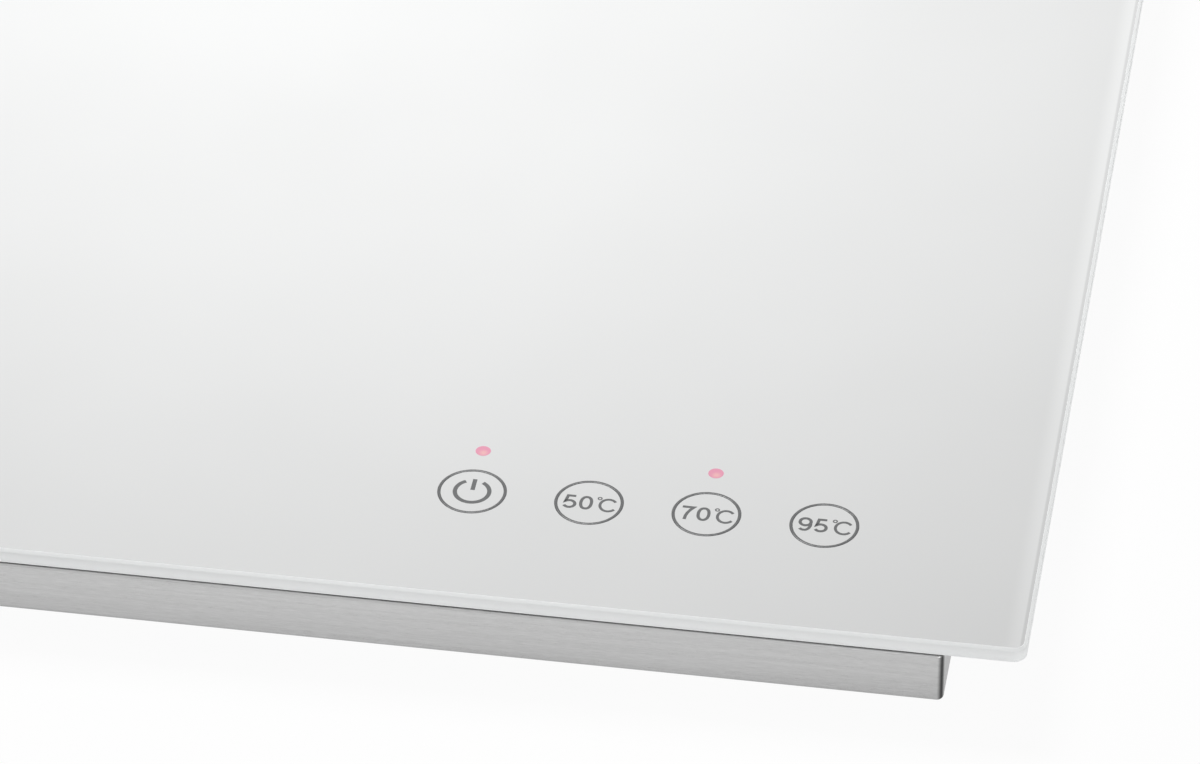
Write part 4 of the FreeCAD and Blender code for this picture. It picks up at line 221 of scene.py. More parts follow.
class FoodWarmerColours(bpy.types.PropertyGroup):
    """Colours of the tray's outside."""

    print_white: bpy.props.FloatVectorProperty(
        name="White print", description="White print on the back of the glass",
        default=(0.708, 0.713, 0.711), subtype="COLOR", size=3)
    ink: bpy.props.FloatVectorProperty(
        name="Grey ink", description="Ink of the touch marks",
        default=(0.125, 0.128, 0.13), subtype="COLOR", size=3)
    steel: bpy.props.FloatVectorProperty(
        name="Brushed steel", description="Brushed stainless casing",
        default=(0.60, 0.60, 0.60), subtype="COLOR", size=3)
    lamp: bpy.props.FloatVectorProperty(
        name="Lit lamp", description="Lamp light through the white print",
        default=(0.73, 0.28, 0.40), subtype="COLOR", size=3)
    lamp_core: bpy.props.FloatVectorProperty(
        name="Lit lamp's middle", description="Brightest part of a lit spot",
        default=(0.80, 0.43, 0.43), subtype="COLOR", size=3)
    foot_rubber: bpy.props.FloatVectorProperty(
        name="Foot rubber", description="Black rubber of the feet",
        default=(0.025, 0.025, 0.027), subtype="COLOR", size=3)


def sizes():
    return bpy.context.scene.food_warmer_sizes


def colours():
    return bpy.context.scene.food_warmer_colours


class Nodes:
    """A node tree under construction."""

    def __init__(self, tree):
        self.tree = tree

    def feed(self, socket, value):
        """Gives a socket a plain value or links it to another node's output."""
        if isinstance(value, bpy.types.NodeSocket):
            self.tree.links.new(value, socket)
        else:
            socket.default_value = value

    def node(self, kind, inputs=None, **settings):
        """Adds a node, chooses its settings and feeds its inputs."""
        made = self.tree.nodes.new(kind)
        for key, setting in settings.items():
            setattr(made, key, setting)
        for socket, value in (inputs or {}).items():
            self.feed(made.inputs[socket], value)
        return made

    def maths(self, kind, *values, clamp=False):
        """One arithmetic step on sockets or numbers."""
        made = self.node("ShaderNodeMath", dict(enumerate(values)), operation=kind, use_clamp=clamp)
        return made.outputs[0]


class Finish(Nodes):
    """A material under construction: a principled shader and the nodes that feed it."""

    def __init__(self, name, colour, roughness, metallic=0.0):
        self.material = bpy.data.materials.new(name)
        self.material.use_nodes = True
        super().__init__(self.material.node_tree)
        self.shader = self.tree.nodes["Principled BSDF"]
        self.colour = tuple(colour)
        self.give(Base_Color=(*colour, 1.0), Roughness=roughness, Metallic=metallic)

    def give(self, **values):
        """Feeds the shader's inputs, with underscores for the blanks in their names."""
        for key, value in values.items():
            self.feed(self.shader.inputs[key.replace("_", " ")], value)

    def place(self, stretch=(1, 1, 1)):
        """Object coordinates in millimetres, stretched along each axis."""
        coordinates = self.node("ShaderNodeTexCoord").outputs["Object"]
        scale = [axis / MM for axis in stretch]
        return self.node("ShaderNodeMapping", {"Vector": coordinates, "Scale": scale}).outputs["Vector"]

    def axes(self):
        """Object coordinates in millimetres, as three numbers."""
        return self.node("ShaderNodeSeparateXYZ", {"Vector": self.place()}).outputs

    def noise(self, scale, stretch=(1, 1, 1), detail=3.0, roughness=0.5):
        """Noise with about this many swells to a millimetre."""
        made = self.node("ShaderNodeTexNoise", {"Vector": self.place(stretch), "Scale": scale,
                                                "Detail": detail, "Roughness": roughness})
        return made.outputs["Fac"]

    def cells(self, scale):
        return self.node("ShaderNodeTexVoronoi", {"Vector": self.place(), "Scale": scale}).outputs

    def range(self, value, low, high, to_low=0.0, to_high=1.0, smooth=False):
        """Carries a value from one span to another and keeps it inside."""
        made = self.node("ShaderNodeMapRange", {"Value": value, "From Min": low, "From Max": high,
                                                "To Min": to_low, "To Max": to_high},
                         interpolation_type="SMOOTHSTEP" if smooth else "LINEAR")
        return made.outputs["Result"]

    def spread(self, noise, to_low, to_high):
        """Carries a noise to a span of one's own."""
        return self.range(noise, NOISE_LOW, NOISE_HIGH, to_low, to_high)

    def blend(self, share, first, second):
        """A colour between two colours or sockets."""
        made = self.node("ShaderNodeMix", {"Factor": share}, data_type="RGBA")
        for socket, colour in ((6, first), (7, second)):
            linked = isinstance(colour, bpy.types.NodeSocket)
            self.feed(made.inputs[socket], colour if linked else (*colour, 1.0))
        return made.outputs[2]

    def tinted(self, amount):
        return tuple(channel * amount for channel in self.colour)

    def mottle(self, share, darker, lighter, low=NOISE_LOW, high=NOISE_HIGH):
        """Paints the finish between two strengths of its colour."""
        tone = self.blend(self.range(share, low, high), self.tinted(darker), self.tinted(lighter))
        self.give(Base_Color=tone)

    def bump(self, height, distance, strength):
        """Raises the surface by a height map; the distance is in millimetres."""
        made = self.node("ShaderNodeBump", {"Strength": strength, "Distance": distance * MM,
                                            "Height": height})
        self.give(Normal=made.outputs["Normal"])


def white_print_finish():
    """White print seen through clear glass, with painted light gathering along its two ends and a painted
    shade line next to them.
    """
    finish = Finish("white_print_under_glass", colours().print_white, 0.06)
    distance = finish.maths("SUBTRACT", glass_high.x / MM, finish.maths("ABSOLUTE", finish.axes()["X"]))
    # Painted shade: a darker line near each end; then painted light: a paler band further in, both put into
    # the base colour
    line = finish.range(distance, END_PAINTED_SHADE_START, END_PAINTED_SHADE_STOP, 1.0, 0.0, smooth=True)
    glow = finish.range(distance, END_PAINTED_SHADE_STOP, END_PAINTED_LIGHT_STOP, 1.0, 0.0, smooth=True)
    clouds = finish.noise(0.012, detail=2.0)
    grain = finish.noise(3.0, detail=2.0)
    tone = finish.maths("ADD", finish.spread(clouds, 0.985, 1.01), finish.spread(grain, -0.004, 0.004))
    tone = finish.maths("ADD", tone, finish.maths("MULTIPLY", glow, END_PAINTED_LIGHT))
    tone = finish.maths("SUBTRACT", tone, finish.maths("MULTIPLY", line, END_PAINTED_SHADE))
    scaled = finish.node("ShaderNodeVectorMath", {0: finish.colour, "Scale": tone}, operation="SCALE")
    smears = finish.noise(0.03, (1, 0.35, 1), detail=4.0)
    finish.give(Base_Color=scaled.outputs["Vector"], Roughness=finish.spread(smears, 0.035, 0.075),
                IOR=GLASS_IOR)
    finish.bump(finish.noise(0.01, detail=1.0), 0.02, 0.1)
    return finish.material


def ground_edge_finish():
    """The ground and polished edge of the glass: paler, with a painted glow that stands for light piped
    through the glass, softer and faintly lined along its length.
    """
    finish = Finish("ground_glass_edge", (0.93, 0.945, 0.945), 0.32)
    lines = finish.noise(2.0, (0.008, 0.008, 0.7), detail=2.0)
    tone = finish.blend(finish.range(lines, 0.35, 0.65), (0.92, 0.93, 0.93), (0.94, 0.95, 0.95))
    ground = finish.noise(3.5, detail=2.0)
    # The faint emission is painted light, standing for light piped through the glass edge
    finish.give(Base_Color=tone, Roughness=finish.spread(ground, 0.30, 0.34), IOR=GLASS_IOR,
                Emission_Color=(0.97, 1.0, 1.0, 1.0), Emission_Strength=0.12)
    finish.bump(lines, 0.001, 0.05)
    return finish.material


def ink_finish():
    """Grey screen print, slightly uneven."""
    finish = Finish("grey_ink", colours().ink, 0.23)
    screen = finish.noise(5.0, detail=2.0)
    finish.mottle(screen, 0.92, 1.08)
    finish.give(Roughness=finish.spread(screen, 0.20, 0.26), IOR=1.45)
    finish.bump(screen, 0.001, 0.1)
    return finish.material


def lit_spot_finish():
    """Pink light soaked into the white print, warmer towards the front of the spot."""
    finish = Finish("lit_lamp_spot", colours().lamp, 0.08)
    local = finish.node("ShaderNodeAttribute", attribute_name="spot_place").outputs["Vector"]
    warmest = (0.1, -0.35, 0.0)
    away = finish.node("ShaderNodeVectorMath", {0: local, 1: warmest}, operation="DISTANCE")
    core = finish.range(away.outputs["Value"], 0.05, 0.8, 1.0, 0.0, smooth=True)
    speckle = finish.noise(2.2, detail=2.0)
    glow = finish.maths("MULTIPLY", core, finish.spread(speckle, 0.8, 1.1), clamp=True)
    tone = finish.blend(glow, colours().lamp, colours().lamp_core)
    finish.give(Base_Color=tone, Emission_Color=tone, Emission_Strength=0.06, IOR=1.5,
                Coat_Weight=0.5, Coat_Roughness=0.03)
    finish.bump(speckle, 0.002, 0.1)
    return finish.material


def painted_fold_shade_share(finish):
    """Share of painted shade: one in the middle of the casing's upright folds, where it stands for a dark
    reflection, a little along its top and bottom bends.
    """
    axes = finish.axes()
    across = finish.maths("SUBTRACT", casing_high.x / MM, finish.maths("ABSOLUTE", axes["X"]))
    middle = (casing_low.y + casing_high.y) / 2 / MM
    half = (casing_high.y - casing_low.y) / 2 / MM
    from_middle = finish.maths("ABSOLUTE", finish.maths("SUBTRACT", axes["Y"], middle))
    along = finish.maths("SUBTRACT", half, from_middle)
    radius = sizes().casing_fold / MM
    corner = finish.maths("MAXIMUM", across, along)
    # Painted dark reflection in the middle of the upright folds
    upright = finish.range(corner, FOLD_SHADE_CORE * radius, radius, 1.0, 0.0, smooth=True)
    rim = sizes().casing_rim / MM
    below_top = finish.maths("SUBTRACT", casing_high.z / MM, axes["Z"])
    above_floor = finish.maths("SUBTRACT", axes["Z"], casing_low.z / MM)
    nearer = finish.maths("MINIMUM", below_top, above_floor)
    # Painted shade along the top and bottom bends
    level = finish.range(nearer, RIM_SHADE_CORE * rim, rim, RIM_SHADE_SHARE, 0.0, smooth=True)
    return finish.maths("MAXIMUM", upright, level)


def brushed_steel_finish():
    """Stainless sheet brushed along its length on every wall, with a painted dark reflection at the upright
    folds and painted shade along its top and bottom bends.
    """
    finish = Finish("brushed_stainless", colours().steel, 0.30, 1.0)
    fine = finish.noise(2.0, (0.11, 0.11, 2.0), detail=4.0, roughness=0.7)
    broad = finish.noise(2.0, (0.006, 0.006, 0.5), detail=2.0)
    grain = finish.maths("ADD", finish.maths("MULTIPLY", fine, 0.7), finish.maths("MULTIPLY", broad, 0.3))
    brushed = finish.blend(finish.range(grain, 0.32, 0.68), finish.tinted(0.84), finish.tinted(1.10))
    # The folds and bends are darkened with painted shade in the base colour
    finish.give(Base_Color=finish.blend(painted_fold_shade_share(finish), brushed, finish.tinted(FOLD_SHADE_TONE)),
                Roughness=finish.spread(grain, 0.24, 0.40), Anisotropic=0.55)
    finish.bump(fine, 0.012, 0.35)
    return finish.material


def sheet_steel_finish():
    """Zinc-plated sheet with faint spangle and handling marks."""
    finish = Finish("zinc_plated_steel", (0.56, 0.57, 0.58), 0.38, 1.0)
    tones = finish.node("ShaderNodeSeparateColor", {"Color": finish.cells(0.5)["Color"]}).outputs
    finish.mottle(tones["Red"], 0.95, 1.04, 0.0, 1.0)
    smears = finish.noise(0.08, (1, 0.3, 1), detail=5.0)
    uneven = finish.range(tones["Green"], 0.0, 1.0, -0.04, 0.04)
    finish.give(Roughness=finish.maths("ADD", finish.spread(smears, 0.30, 0.48), uneven))
    finish.bump(finish.noise(0.6, detail=4.0), 0.01, 0.3)
    return finish.material


def metal_finish(name, colour, roughness, grain=(1, 1, 1)):
    """Bare or plated metal with patches and fine scratches."""
    finish = Finish(name, colour, roughness, 1.0)
    scratches = finish.noise(1.6, grain, detail=5.0, roughness=0.6)
    finish.mottle(finish.noise(0.15), 0.85, 1.06)
    finish.give(Roughness=finish.spread(scratches, roughness - 0.08, roughness + 0.10))
    finish.bump(scratches, 0.008, 0.3)
    return finish.material


def rubber_finish(name, colour, roughness, pores):
    """Moulded rubber or silicone with fine pores and dust in the dips."""
    finish = Finish(name, colour, roughness)
    skin = finish.noise(pores, detail=5.0, roughness=0.6)
    finish.mottle(finish.noise(0.12, detail=4.0), 1.0, 1.25, 0.45, 0.75)
    finish.give(Roughness=finish.spread(skin, roughness - 0.1, min(1.0, roughness + 0.1)), IOR=1.45)
    finish.bump(skin, 0.03, 0.35)
    return finish.material


def plastic_finish(name, colour, roughness, texture=2.5):
    """Injection moulded plastic: fine spark texture and slight flow lines."""
    finish = Finish(name, colour, roughness)
    spark = finish.noise(texture)
    finish.mottle(finish.noise(0.15, (0.2, 0.2, 1), detail=2.0), 0.93, 1.05)
    finish.give(Roughness=finish.spread(spark, roughness - 0.07, roughness + 0.08), IOR=1.48)
    finish.bump(spark, 0.015, 0.3)
    return finish.material


def fibre_finish():
    """Needled fibre mat with matted strands."""
    finish = Finish("needled_fibre", (0.72, 0.70, 0.62), 0.95)
    strands = finish.noise(0.8, (0.3, 1.2, 1), detail=6.0, roughness=0.7)
    tufts = finish.maths("MULTIPLY", finish.cells(0.25)["Distance"], 0.2)
    finish.mottle(strands, 0.75, 1.08)
    finish.give(Sheen_Weight=0.3)
    finish.bump(finish.maths("ADD", strands, tufts), 0.4, 0.6)
    return finish.material


def board_finish():
    """Solder mask over copper tracks, which stand out as slightly raised paler lines."""
    finish = Finish("solder_mask", (0.03, 0.16, 0.07), 0.30)
    tracks = finish.node("ShaderNodeTexBrick", {
        "Vector": finish.place(), "Scale": 0.35, "Mortar Size": 0.06, "Color1": (0, 0, 0, 1),
        "Color2": (0.25, 0.25, 0.25, 1), "Mortar": (1, 1, 1, 1)}).outputs
    weave = finish.noise(1.5, detail=2.0)
    finish.give(Base_Color=finish.blend(tracks["Color"], finish.tinted(1.0), (0.06, 0.27, 0.12)),
                Roughness=finish.spread(weave, 0.24, 0.38), IOR=1.5, Coat_Weight=0.3)
    finish.bump(tracks["Fac"], 0.03, 0.4)
    return finish.material


def ceramic_finish(name, colour, roughness):
    """Fired ceramic or ferrite with fine grains and stains."""
    finish = Finish(name, colour, roughness)
    grains = finish.noise(4.0, detail=4.0)
    finish.mottle(finish.noise(0.3), 1.0, 0.85, 0.35)
    finish.give(Roughness=finish.spread(grains, roughness - 0.08, min(1.0, roughness + 0.08)))
    finish.bump(grains, 0.02, 0.4)
    return finish.material


def lens_finish():
    """Slightly hazy red plastic of a lamp."""
    finish = Finish("red_lamp_lens", (0.62, 0.03, 0.05), 0.12)
    haze = finish.noise(1.8)
    finish.mottle(haze, 0.85, 1.1)
    finish.give(Roughness=finish.spread(haze, 0.08, 0.18), IOR=1.5, Coat_Weight=0.5)
    finish.bump(haze, 0.01, 0.2)
    return finish.material


def clear_glass_finish():
    """Drawn glass tube with faint waves."""
    finish = Finish("fuse_tube_glass", (0.80, 0.84, 0.84), 0.06)
    waves = finish.noise(0.6, (0.2, 1, 1), detail=2.0)
    finish.give(Roughness=finish.spread(waves, 0.04, 0.10), IOR=1.5, Transmission_Weight=0.6)
    finish.bump(waves, 0.01, 0.2)
    return finish.material


SLOT_FINISHES = {
    "silicone": lambda: rubber_finish("silicone_strip", (0.42, 0.43, 0.44), 0.6, 1.5),
    "cable_silicone": lambda: rubber_finish("cable_sleeve_silicone", (0.50, 0.14, 0.07), 0.45, 2.0),
    "lead_sleeve": lambda: rubber_finish("lead_sleeve", (0.66, 0.66, 0.62), 0.45, 2.0),
    "foot_rubber": lambda: rubber_finish("foot_rubber_core", colours().foot_rubber, 0.75, 1.2),
    "plain_steel": sheet_steel_finish,
    "aluminium": lambda: metal_finish("mill_aluminium", (0.76, 0.76, 0.77), 0.32, (0.05, 1, 1)),
    "spring_steel": lambda: metal_finish("spring_steel", (0.60, 0.60, 0.61), 0.22),
    "plated_brass": lambda: metal_finish("plated_brass", (0.70, 0.58, 0.30), 0.28),
    "fibre_mat": fibre_finish,
    "black_nylon": lambda: plastic_finish("black_nylon", (0.022, 0.022, 0.024), 0.48),
    "white_moulding": lambda: plastic_finish("white_moulding", (0.68, 0.68, 0.66), 0.42),
    "component_black": lambda: plastic_finish("black_epoxy", (0.02, 0.02, 0.022), 0.55, 4.0),
    "component_yellow": lambda: plastic_finish("yellow_film", (0.62, 0.42, 0.05), 0.30),
    "terminal_green": lambda: plastic_finish("green_terminal", (0.04, 0.22, 0.08), 0.40),
    "circuit_board": board_finish,
    "ferrite": lambda: ceramic_finish("ferrite", (0.035, 0.035, 0.04), 0.65),
    "steatite": lambda: ceramic_finish("steatite", (0.70, 0.66, 0.57), 0.50),
    "lamp_lens": lens_finish,
    "fuse_glass": clear_glass_finish,
    "casing_steel": brushed_steel_finish,
}


def node_slots():
    """CAD node to the record's material slot."""
    return {entry["node"]: entry["material_slot"] for entry in frame["record"]["subparts"]}


def dress_nodes(slots):
    """Gives each CAD node of the named slots its finish."""
    materials = {slot: SLOT_FINISHES[slot]() for slot in slots}
    for node, slot in node_slots().items():
        if slot in materials:
            mesh = frame["nodes"][node].data
            mesh.materials.clear()
            mesh.materials.append(materials[slot])


def new_piece(name, mesh, materials, replaced=()):
    """A finished piece that rides on the tray; a mesh from a node tree brings its own material."""
    piece = bpy.data.objects.new(name, mesh)
    bpy.context.scene.collection.objects.link(piece)
    for material in materials:
        mesh.materials.append(material)
    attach(piece, TRAY)
    if replaced:
        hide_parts(*replaced)


def rounded_outline(half_x, half_y, radius, steps):
    """Corner points of a rounded rectangle about the origin, counter-clockwise."""
    points = []
    for index, (sign_x, sign_y) in enumerate(((1, -1), (1, 1), (-1, 1), (-1, -1))):
        for step in range(steps + 1):
            angle = math.pi / 2 * (index - 1 + step / steps)
            points.append((sign_x * (half_x - radius) + radius * math.cos(angle),
                           sign_y * (half_y - radius) + radius * math.sin(angle)))
    return points


def glass_rings():
    """Height and inset of each ring of the glass plate's section, from the underside up."""
    arris = sizes().top_arris
    under = sizes().bottom_arris
    low = glass_low.z
    high = glass_high.z - sizes().print_rise
    ease = sizes().arris_ease
    drop = ease * EASE_DROP
    return [(low, under), (low + under, 0), (high - arris, 0), (high - arris + ease, drop),
            (high - ease, arris - drop), (high, arris)]


def glass_mesh():
    """A rounded plate whose edge is ground to an arris above and below."""
    edge_material = 1
    built = bmesh.new()
    rings = []
    for height, inset in glass_rings():
        radius = max(sizes().glass_corner - inset, SMALLEST_CORNER)
        outline = rounded_outline(glass_high.x - inset, glass_high.y - inset, radius, CORNER_STEPS)
        rings.append([built.verts.new((x, y, height)) for x, y in outline])
    count = len(rings[0])
    for lower, upper in zip(rings, rings[1:]):
        for index in range(count):
            after = (index + 1) % count
            wall = built.faces.new((lower[index], lower[after], upper[after], upper[index]))
            wall.material_index = edge_material
            wall.smooth = True
    built.faces.new(list(reversed(rings[0])))
    built.faces.new(rings[-1])
    mesh = bpy.data.meshes.new("glass_plate")
    built.to_mesh(mesh)
    built.free()
    return mesh


def arc(centre, radii, start, end, steps):
    """Points on an ellipse arc, angles in degrees."""
    points = []
    for step in range(steps + 1):
        angle = math.radians(start + (end - start) * step / steps)
        points.append((centre[0] + radii[0] * math.cos(angle), centre[1] + radii[1] * math.sin(angle)))
    return points


def closed_arc(centre, radii, steps):
    """Points all the way round an ellipse."""
    return arc(centre, radii, 0, 360 - 360 / steps, steps - 1)


def ribbon(built, points, width, low, high, closed=False):
    """Adds a flat line of even width along the points, with mitred bends, as a thin closed solid."""
    count = len(points)
    half = width / 2
    sides = []
    for index, (x, y) in enumerate(points):
        before = points[index - 1] if closed or index else points[0]
        after = points[(index + 1) % count] if closed or index < count - 1 else points[-1]
        here = Vector((x, y))
        arriving = (here - Vector(before)).normalized() if here != Vector(before) else None
        leaving = (Vector(after) - here).normalized() if here != Vector(after) else None
        arriving = arriving or leaving
        leaving = leaving or arriving
        along = (arriving + leaving).normalized()
        normal = Vector((-along.y, along.x))
        reach = half / max(SHARPEST_MITRE, along.dot(leaving))
        sides.append((here + normal * reach, here - normal * reach))
    loops = []
    for left, right in sides:
        loops.append([built.verts.new((*right, low)), built.verts.new((*left, low)),
                      built.verts.new((*left, high)), built.verts.new((*right, high))])
    pairs = list(zip(loops, loops[1:]))
    if closed:
        pairs.append((loops[-1], loops[0]))
    for first, second in pairs:
        for corner in range(4):
            after = (corner + 1) % 4
            built.faces.new((first[corner], first[after], second[after], second[corner]))
    if not closed:
        built.faces.new(list(reversed(loops[0])))
        built.faces.new(loops[-1])


def print_levels():
    """Bottom and top of the print, which starts a little inside the glass."""
    return glass_high.z - 1.5 * sizes().print_rise, glass_high.z


def mesh_from(built, name):
    bmesh.ops.recalc_face_normals(built, faces=built.faces)
    mesh = bpy.data.meshes.new(name)
    built.to_mesh(mesh)
    built.free()
    return mesh


def figure_lines(figure):
    """Lines of a figure in a cell one unit high, each a list of points and whether it closes."""
    if figure == "0":
        points = [(0.325 + 0.235 * math.copysign(abs(math.cos(turn)) ** 0.86, math.cos(turn)),
                   0.5 + 0.43 * math.copysign(abs(math.sin(turn)) ** 0.92, math.sin(turn)))
                  for turn in (2 * math.pi * step / 48 for step in range(48))]
        return [(points, True)]
    if figure == "5":
        bowl = arc((0.305, 0.325), (0.25, 0.255), 140, -152, 30)
        return [([(0.535, 0.93), (0.185, 0.93), (0.115, 0.50)] + bowl[1:], False)]
    if figure == "7":
        sweep = [(0.56, 0.93), (0.43, 0.74), (0.32, 0.51), (0.26, 0.27), (0.235, 0.0)]
        return [([(0.05, 0.93)] + sweep, False)]
    if figure == "9":
        bowl = closed_arc((0.315, 0.67), (0.245, 0.26), 36)
        tail = arc((0.31, 0.50), (0.25, 0.43), 18, -62, 14)
        return [(bowl, True), (tail + arc((0.30, 0.27), (0.225, 0.20), -66, -150, 10), False)]
    if figure == "C":
        return [(arc((0.44, 0.5), (0.40, 0.44), 38, 322, 40), False)]
    raise ValueError(f"no lines for the figure {figure}")


def add_figure(built, figure, corner, height, stretch, line):
    """Prints a figure; each further line lies slightly lower, so that no faces coincide."""
    low, high = print_levels()
    for order, (points, closed) in enumerate(figure_lines(figure)):
        placed = [(corner[0] + x * height * stretch, corner[1] + y * height) for x, y in points]
        ribbon(built, placed, line, low, high - order * CROSSING_DROP * (high - low), closed)


def add_temperature(built, centre, digits):
    """Two figures, a small ring and a C, centred in a touch circle."""
    height = sizes().digit_height
    left = centre[0] - TEXT_REACH
    foot = centre[1] - height / 2 - TEXT_DROP
    for index, figure in enumerate(digits):
        place = (left + index * FIGURE_STEP, foot)
        add_figure(built, figure, place, height, FIGURE_STRETCH, sizes().digit_line)
    end = left + len(digits) * FIGURE_STEP
    degree = (end + DEGREE_STEP, foot + height - DEGREE_RADIUS)
    ring = closed_arc(degree, (DEGREE_RADIUS, DEGREE_RADIUS), 24)
    ribbon(built, ring, DEGREE_LINE, *print_levels(), True)
    add_figure(built, "C", (end + UNIT_STEP, foot - 2 * TEXT_DROP), height, 1.0, sizes().unit_line)


def mark_places():
    return [(FIRST_MARK_X + index * MARK_PITCH, MARK_ROW_Y) for index in range(MARK_COUNT)]


class FOODWARMER_OT_glass(bpy.types.Operator):
    """Builds the glass plate with its ground edge"""

    bl_idname = "food_warmer.glass"
    bl_label = "Glass plate"

    def execute(self, context):
        new_piece("glass_plate", glass_mesh(), [white_print_finish(), ground_edge_finish()],
                  ["glass_top"])
        return {"FINISHED"}


class Growth(Nodes):
    """A geometry node tree under construction, with named inputs."""

    def __init__(self, name, inputs):
        super().__init__(bpy.data.node_groups.new(name, "GeometryNodeTree"))
        self.tree.interface.new_socket("Geometry", in_out="OUTPUT", socket_type="NodeSocketGeometry")
        for label, kind in inputs.items():
            self.tree.interface.new_socket(label, in_out="INPUT", socket_type=f"NodeSocket{kind}")
        self.given = self.node("NodeGroupInput").outputs

    def finished(self, points, instance, material):
        """Sets the instance on every point and ends the tree with real, dressed geometry."""
        placed = self.node("GeometryNodeInstanceOnPoints", {"Points": points, "Instance": instance})
        real = self.node("GeometryNodeRealizeInstances", {"Geometry": placed.outputs["Instances"]})
        dressed = self.node("GeometryNodeSetMaterial", {"Geometry": real.outputs["Geometry"],
                                                        "Material": material})
        self.node("NodeGroupOutput", {"Geometry": dressed.outputs["Geometry"]})
        return self.tree


def circle_row_tree():
    """Nodes that place a row of printed rings and give them their thickness."""
    growth = Growth("printed_ring_row", {"Rings": "Int", "Pitch": "Float", "Diameter": "Float",
                                         "Line": "Float", "Thickness": "Float", "Start": "Vector",
                                         "Ink": "Material"})
    given = growth.given
    offset = growth.node("ShaderNodeCombineXYZ", {"X": given["Pitch"]})
    row = growth.node("GeometryNodeMeshLine", {"Count": given["Rings"], "Start Location": given["Start"],
                                               "Offset": offset.outputs[0]}, mode="OFFSET")
    radius = growth.maths("DIVIDE", growth.maths("SUBTRACT", given["Diameter"], given["Line"]), 2)
    path = growth.node("GeometryNodeCurvePrimitiveCircle", {"Resolution": RING_STEPS, "Radius": radius})
    section = growth.node("GeometryNodeCurvePrimitiveQuadrilateral", {"Width": given["Line"],
                                                                      "Height": given["Thickness"]})
    swept = growth.node("GeometryNodeCurveToMesh", {"Curve": path.outputs["Curve"],
                                                    "Profile Curve": section.outputs["Curve"]})
    return growth.finished(row.outputs["Mesh"], swept.outputs["Mesh"], given["Ink"])


def screw_grid_tree():
    """Nodes that set one screw on every point of a grid but the removed one."""
    growth = Growth("screw_grid", {"Width": "Float", "Depth": "Float", "Columns": "Int", "Rows": "Int",
                                   "Removed": "Int", "Centre": "Vector", "Screw": "Object",
                                   "Metal": "Material"})
    given = growth.given
    grid = growth.node("GeometryNodeMeshGrid", {"Size X": given["Width"], "Size Y": given["Depth"],
                                                "Vertices X": given["Columns"],
                                                "Vertices Y": given["Rows"]})
    index = growth.node("GeometryNodeInputIndex").outputs["Index"]
    spare = growth.node("FunctionNodeCompare", {2: index, 3: given["Removed"]}, data_type="INT",
                        operation="EQUAL")
    kept = growth.node("GeometryNodeDeleteGeometry", {"Geometry": grid.outputs["Mesh"],
                                                      "Selection": spare.outputs["Result"]})
    moved = growth.node("GeometryNodeSetPosition", {"Geometry": kept.outputs["Geometry"],
                                                    "Offset": given["Centre"]})
    screw = growth.node("GeometryNodeObjectInfo", {"Object": given["Screw"]})
    return growth.finished(moved.outputs["Geometry"], screw.outputs["Geometry"], given["Metal"])


def grown_mesh(tree, name, values):
    """The mesh that a node tree makes with the given named inputs."""
    carrier = bpy.data.objects.new(f"{name}_carrier", bpy.data.meshes.new(f"{name}_carrier"))
    bpy.context.scene.collection.objects.link(carrier)
    modifier = carrier.modifiers.new("grown", "NODES")
    modifier.node_group = tree
    identifiers = {item.name: item.identifier for item in tree.interface.items_tree
                   if item.item_type == "SOCKET" and item.in_out == "INPUT"}
    for key, setting in values.items():
        modifier[identifiers[key]] = setting
    carrier.update_tag()
    graph = bpy.context.evaluated_depsgraph_get()
    mesh = bpy.data.meshes.new_from_object(carrier.evaluated_get(graph), depsgraph=graph)
    bpy.data.objects.remove(carrier)
    mesh.name = name
    return mesh


class FOODWARMER_OT_marks(bpy.types.Operator):
    """Prints the four touch circles, the power mark and the temperatures"""

    bl_idname = "food_warmer.marks"
    bl_label = "Touch marks"

    def execute(self, context):
        ink = ink_finish()
        low, high = print_levels()
        rings = grown_mesh(circle_row_tree(), "touch_circles", {
            "Rings": MARK_COUNT, "Pitch": MARK_PITCH, "Diameter": sizes().mark_diameter,
            "Line": sizes().mark_line, "Thickness": high - low,
            "Start": (FIRST_MARK_X, MARK_ROW_Y, (low + high) / 2), "Ink": ink})
        new_piece("touch_circles", rings, [])
        built = bmesh.new()
        centre = mark_places()[0]
        radius = (sizes().icon_diameter - sizes().icon_line) / 2
        ring = arc(centre, (radius, radius), 90 + POWER_HALF_GAP, 450 - POWER_HALF_GAP, 60)
        ribbon(built, ring, sizes().icon_line, low, high)
        bar = [(centre[0], centre[1] + POWER_BAR_START),
               (centre[0], centre[1] + sizes().icon_diameter / 2)]
        ribbon(built, bar, sizes().icon_line, low, high)
        new_piece("power_mark", mesh_from(built, "power_mark"), [ink])
        built = bmesh.new()
        for place, digits in zip(mark_places()[1:], ("50", "70", "95")):
            add_temperature(built, place, digits)
        new_piece("temperature_marks", mesh_from(built, "temperature_marks"), [ink])
        return {"FINISHED"}


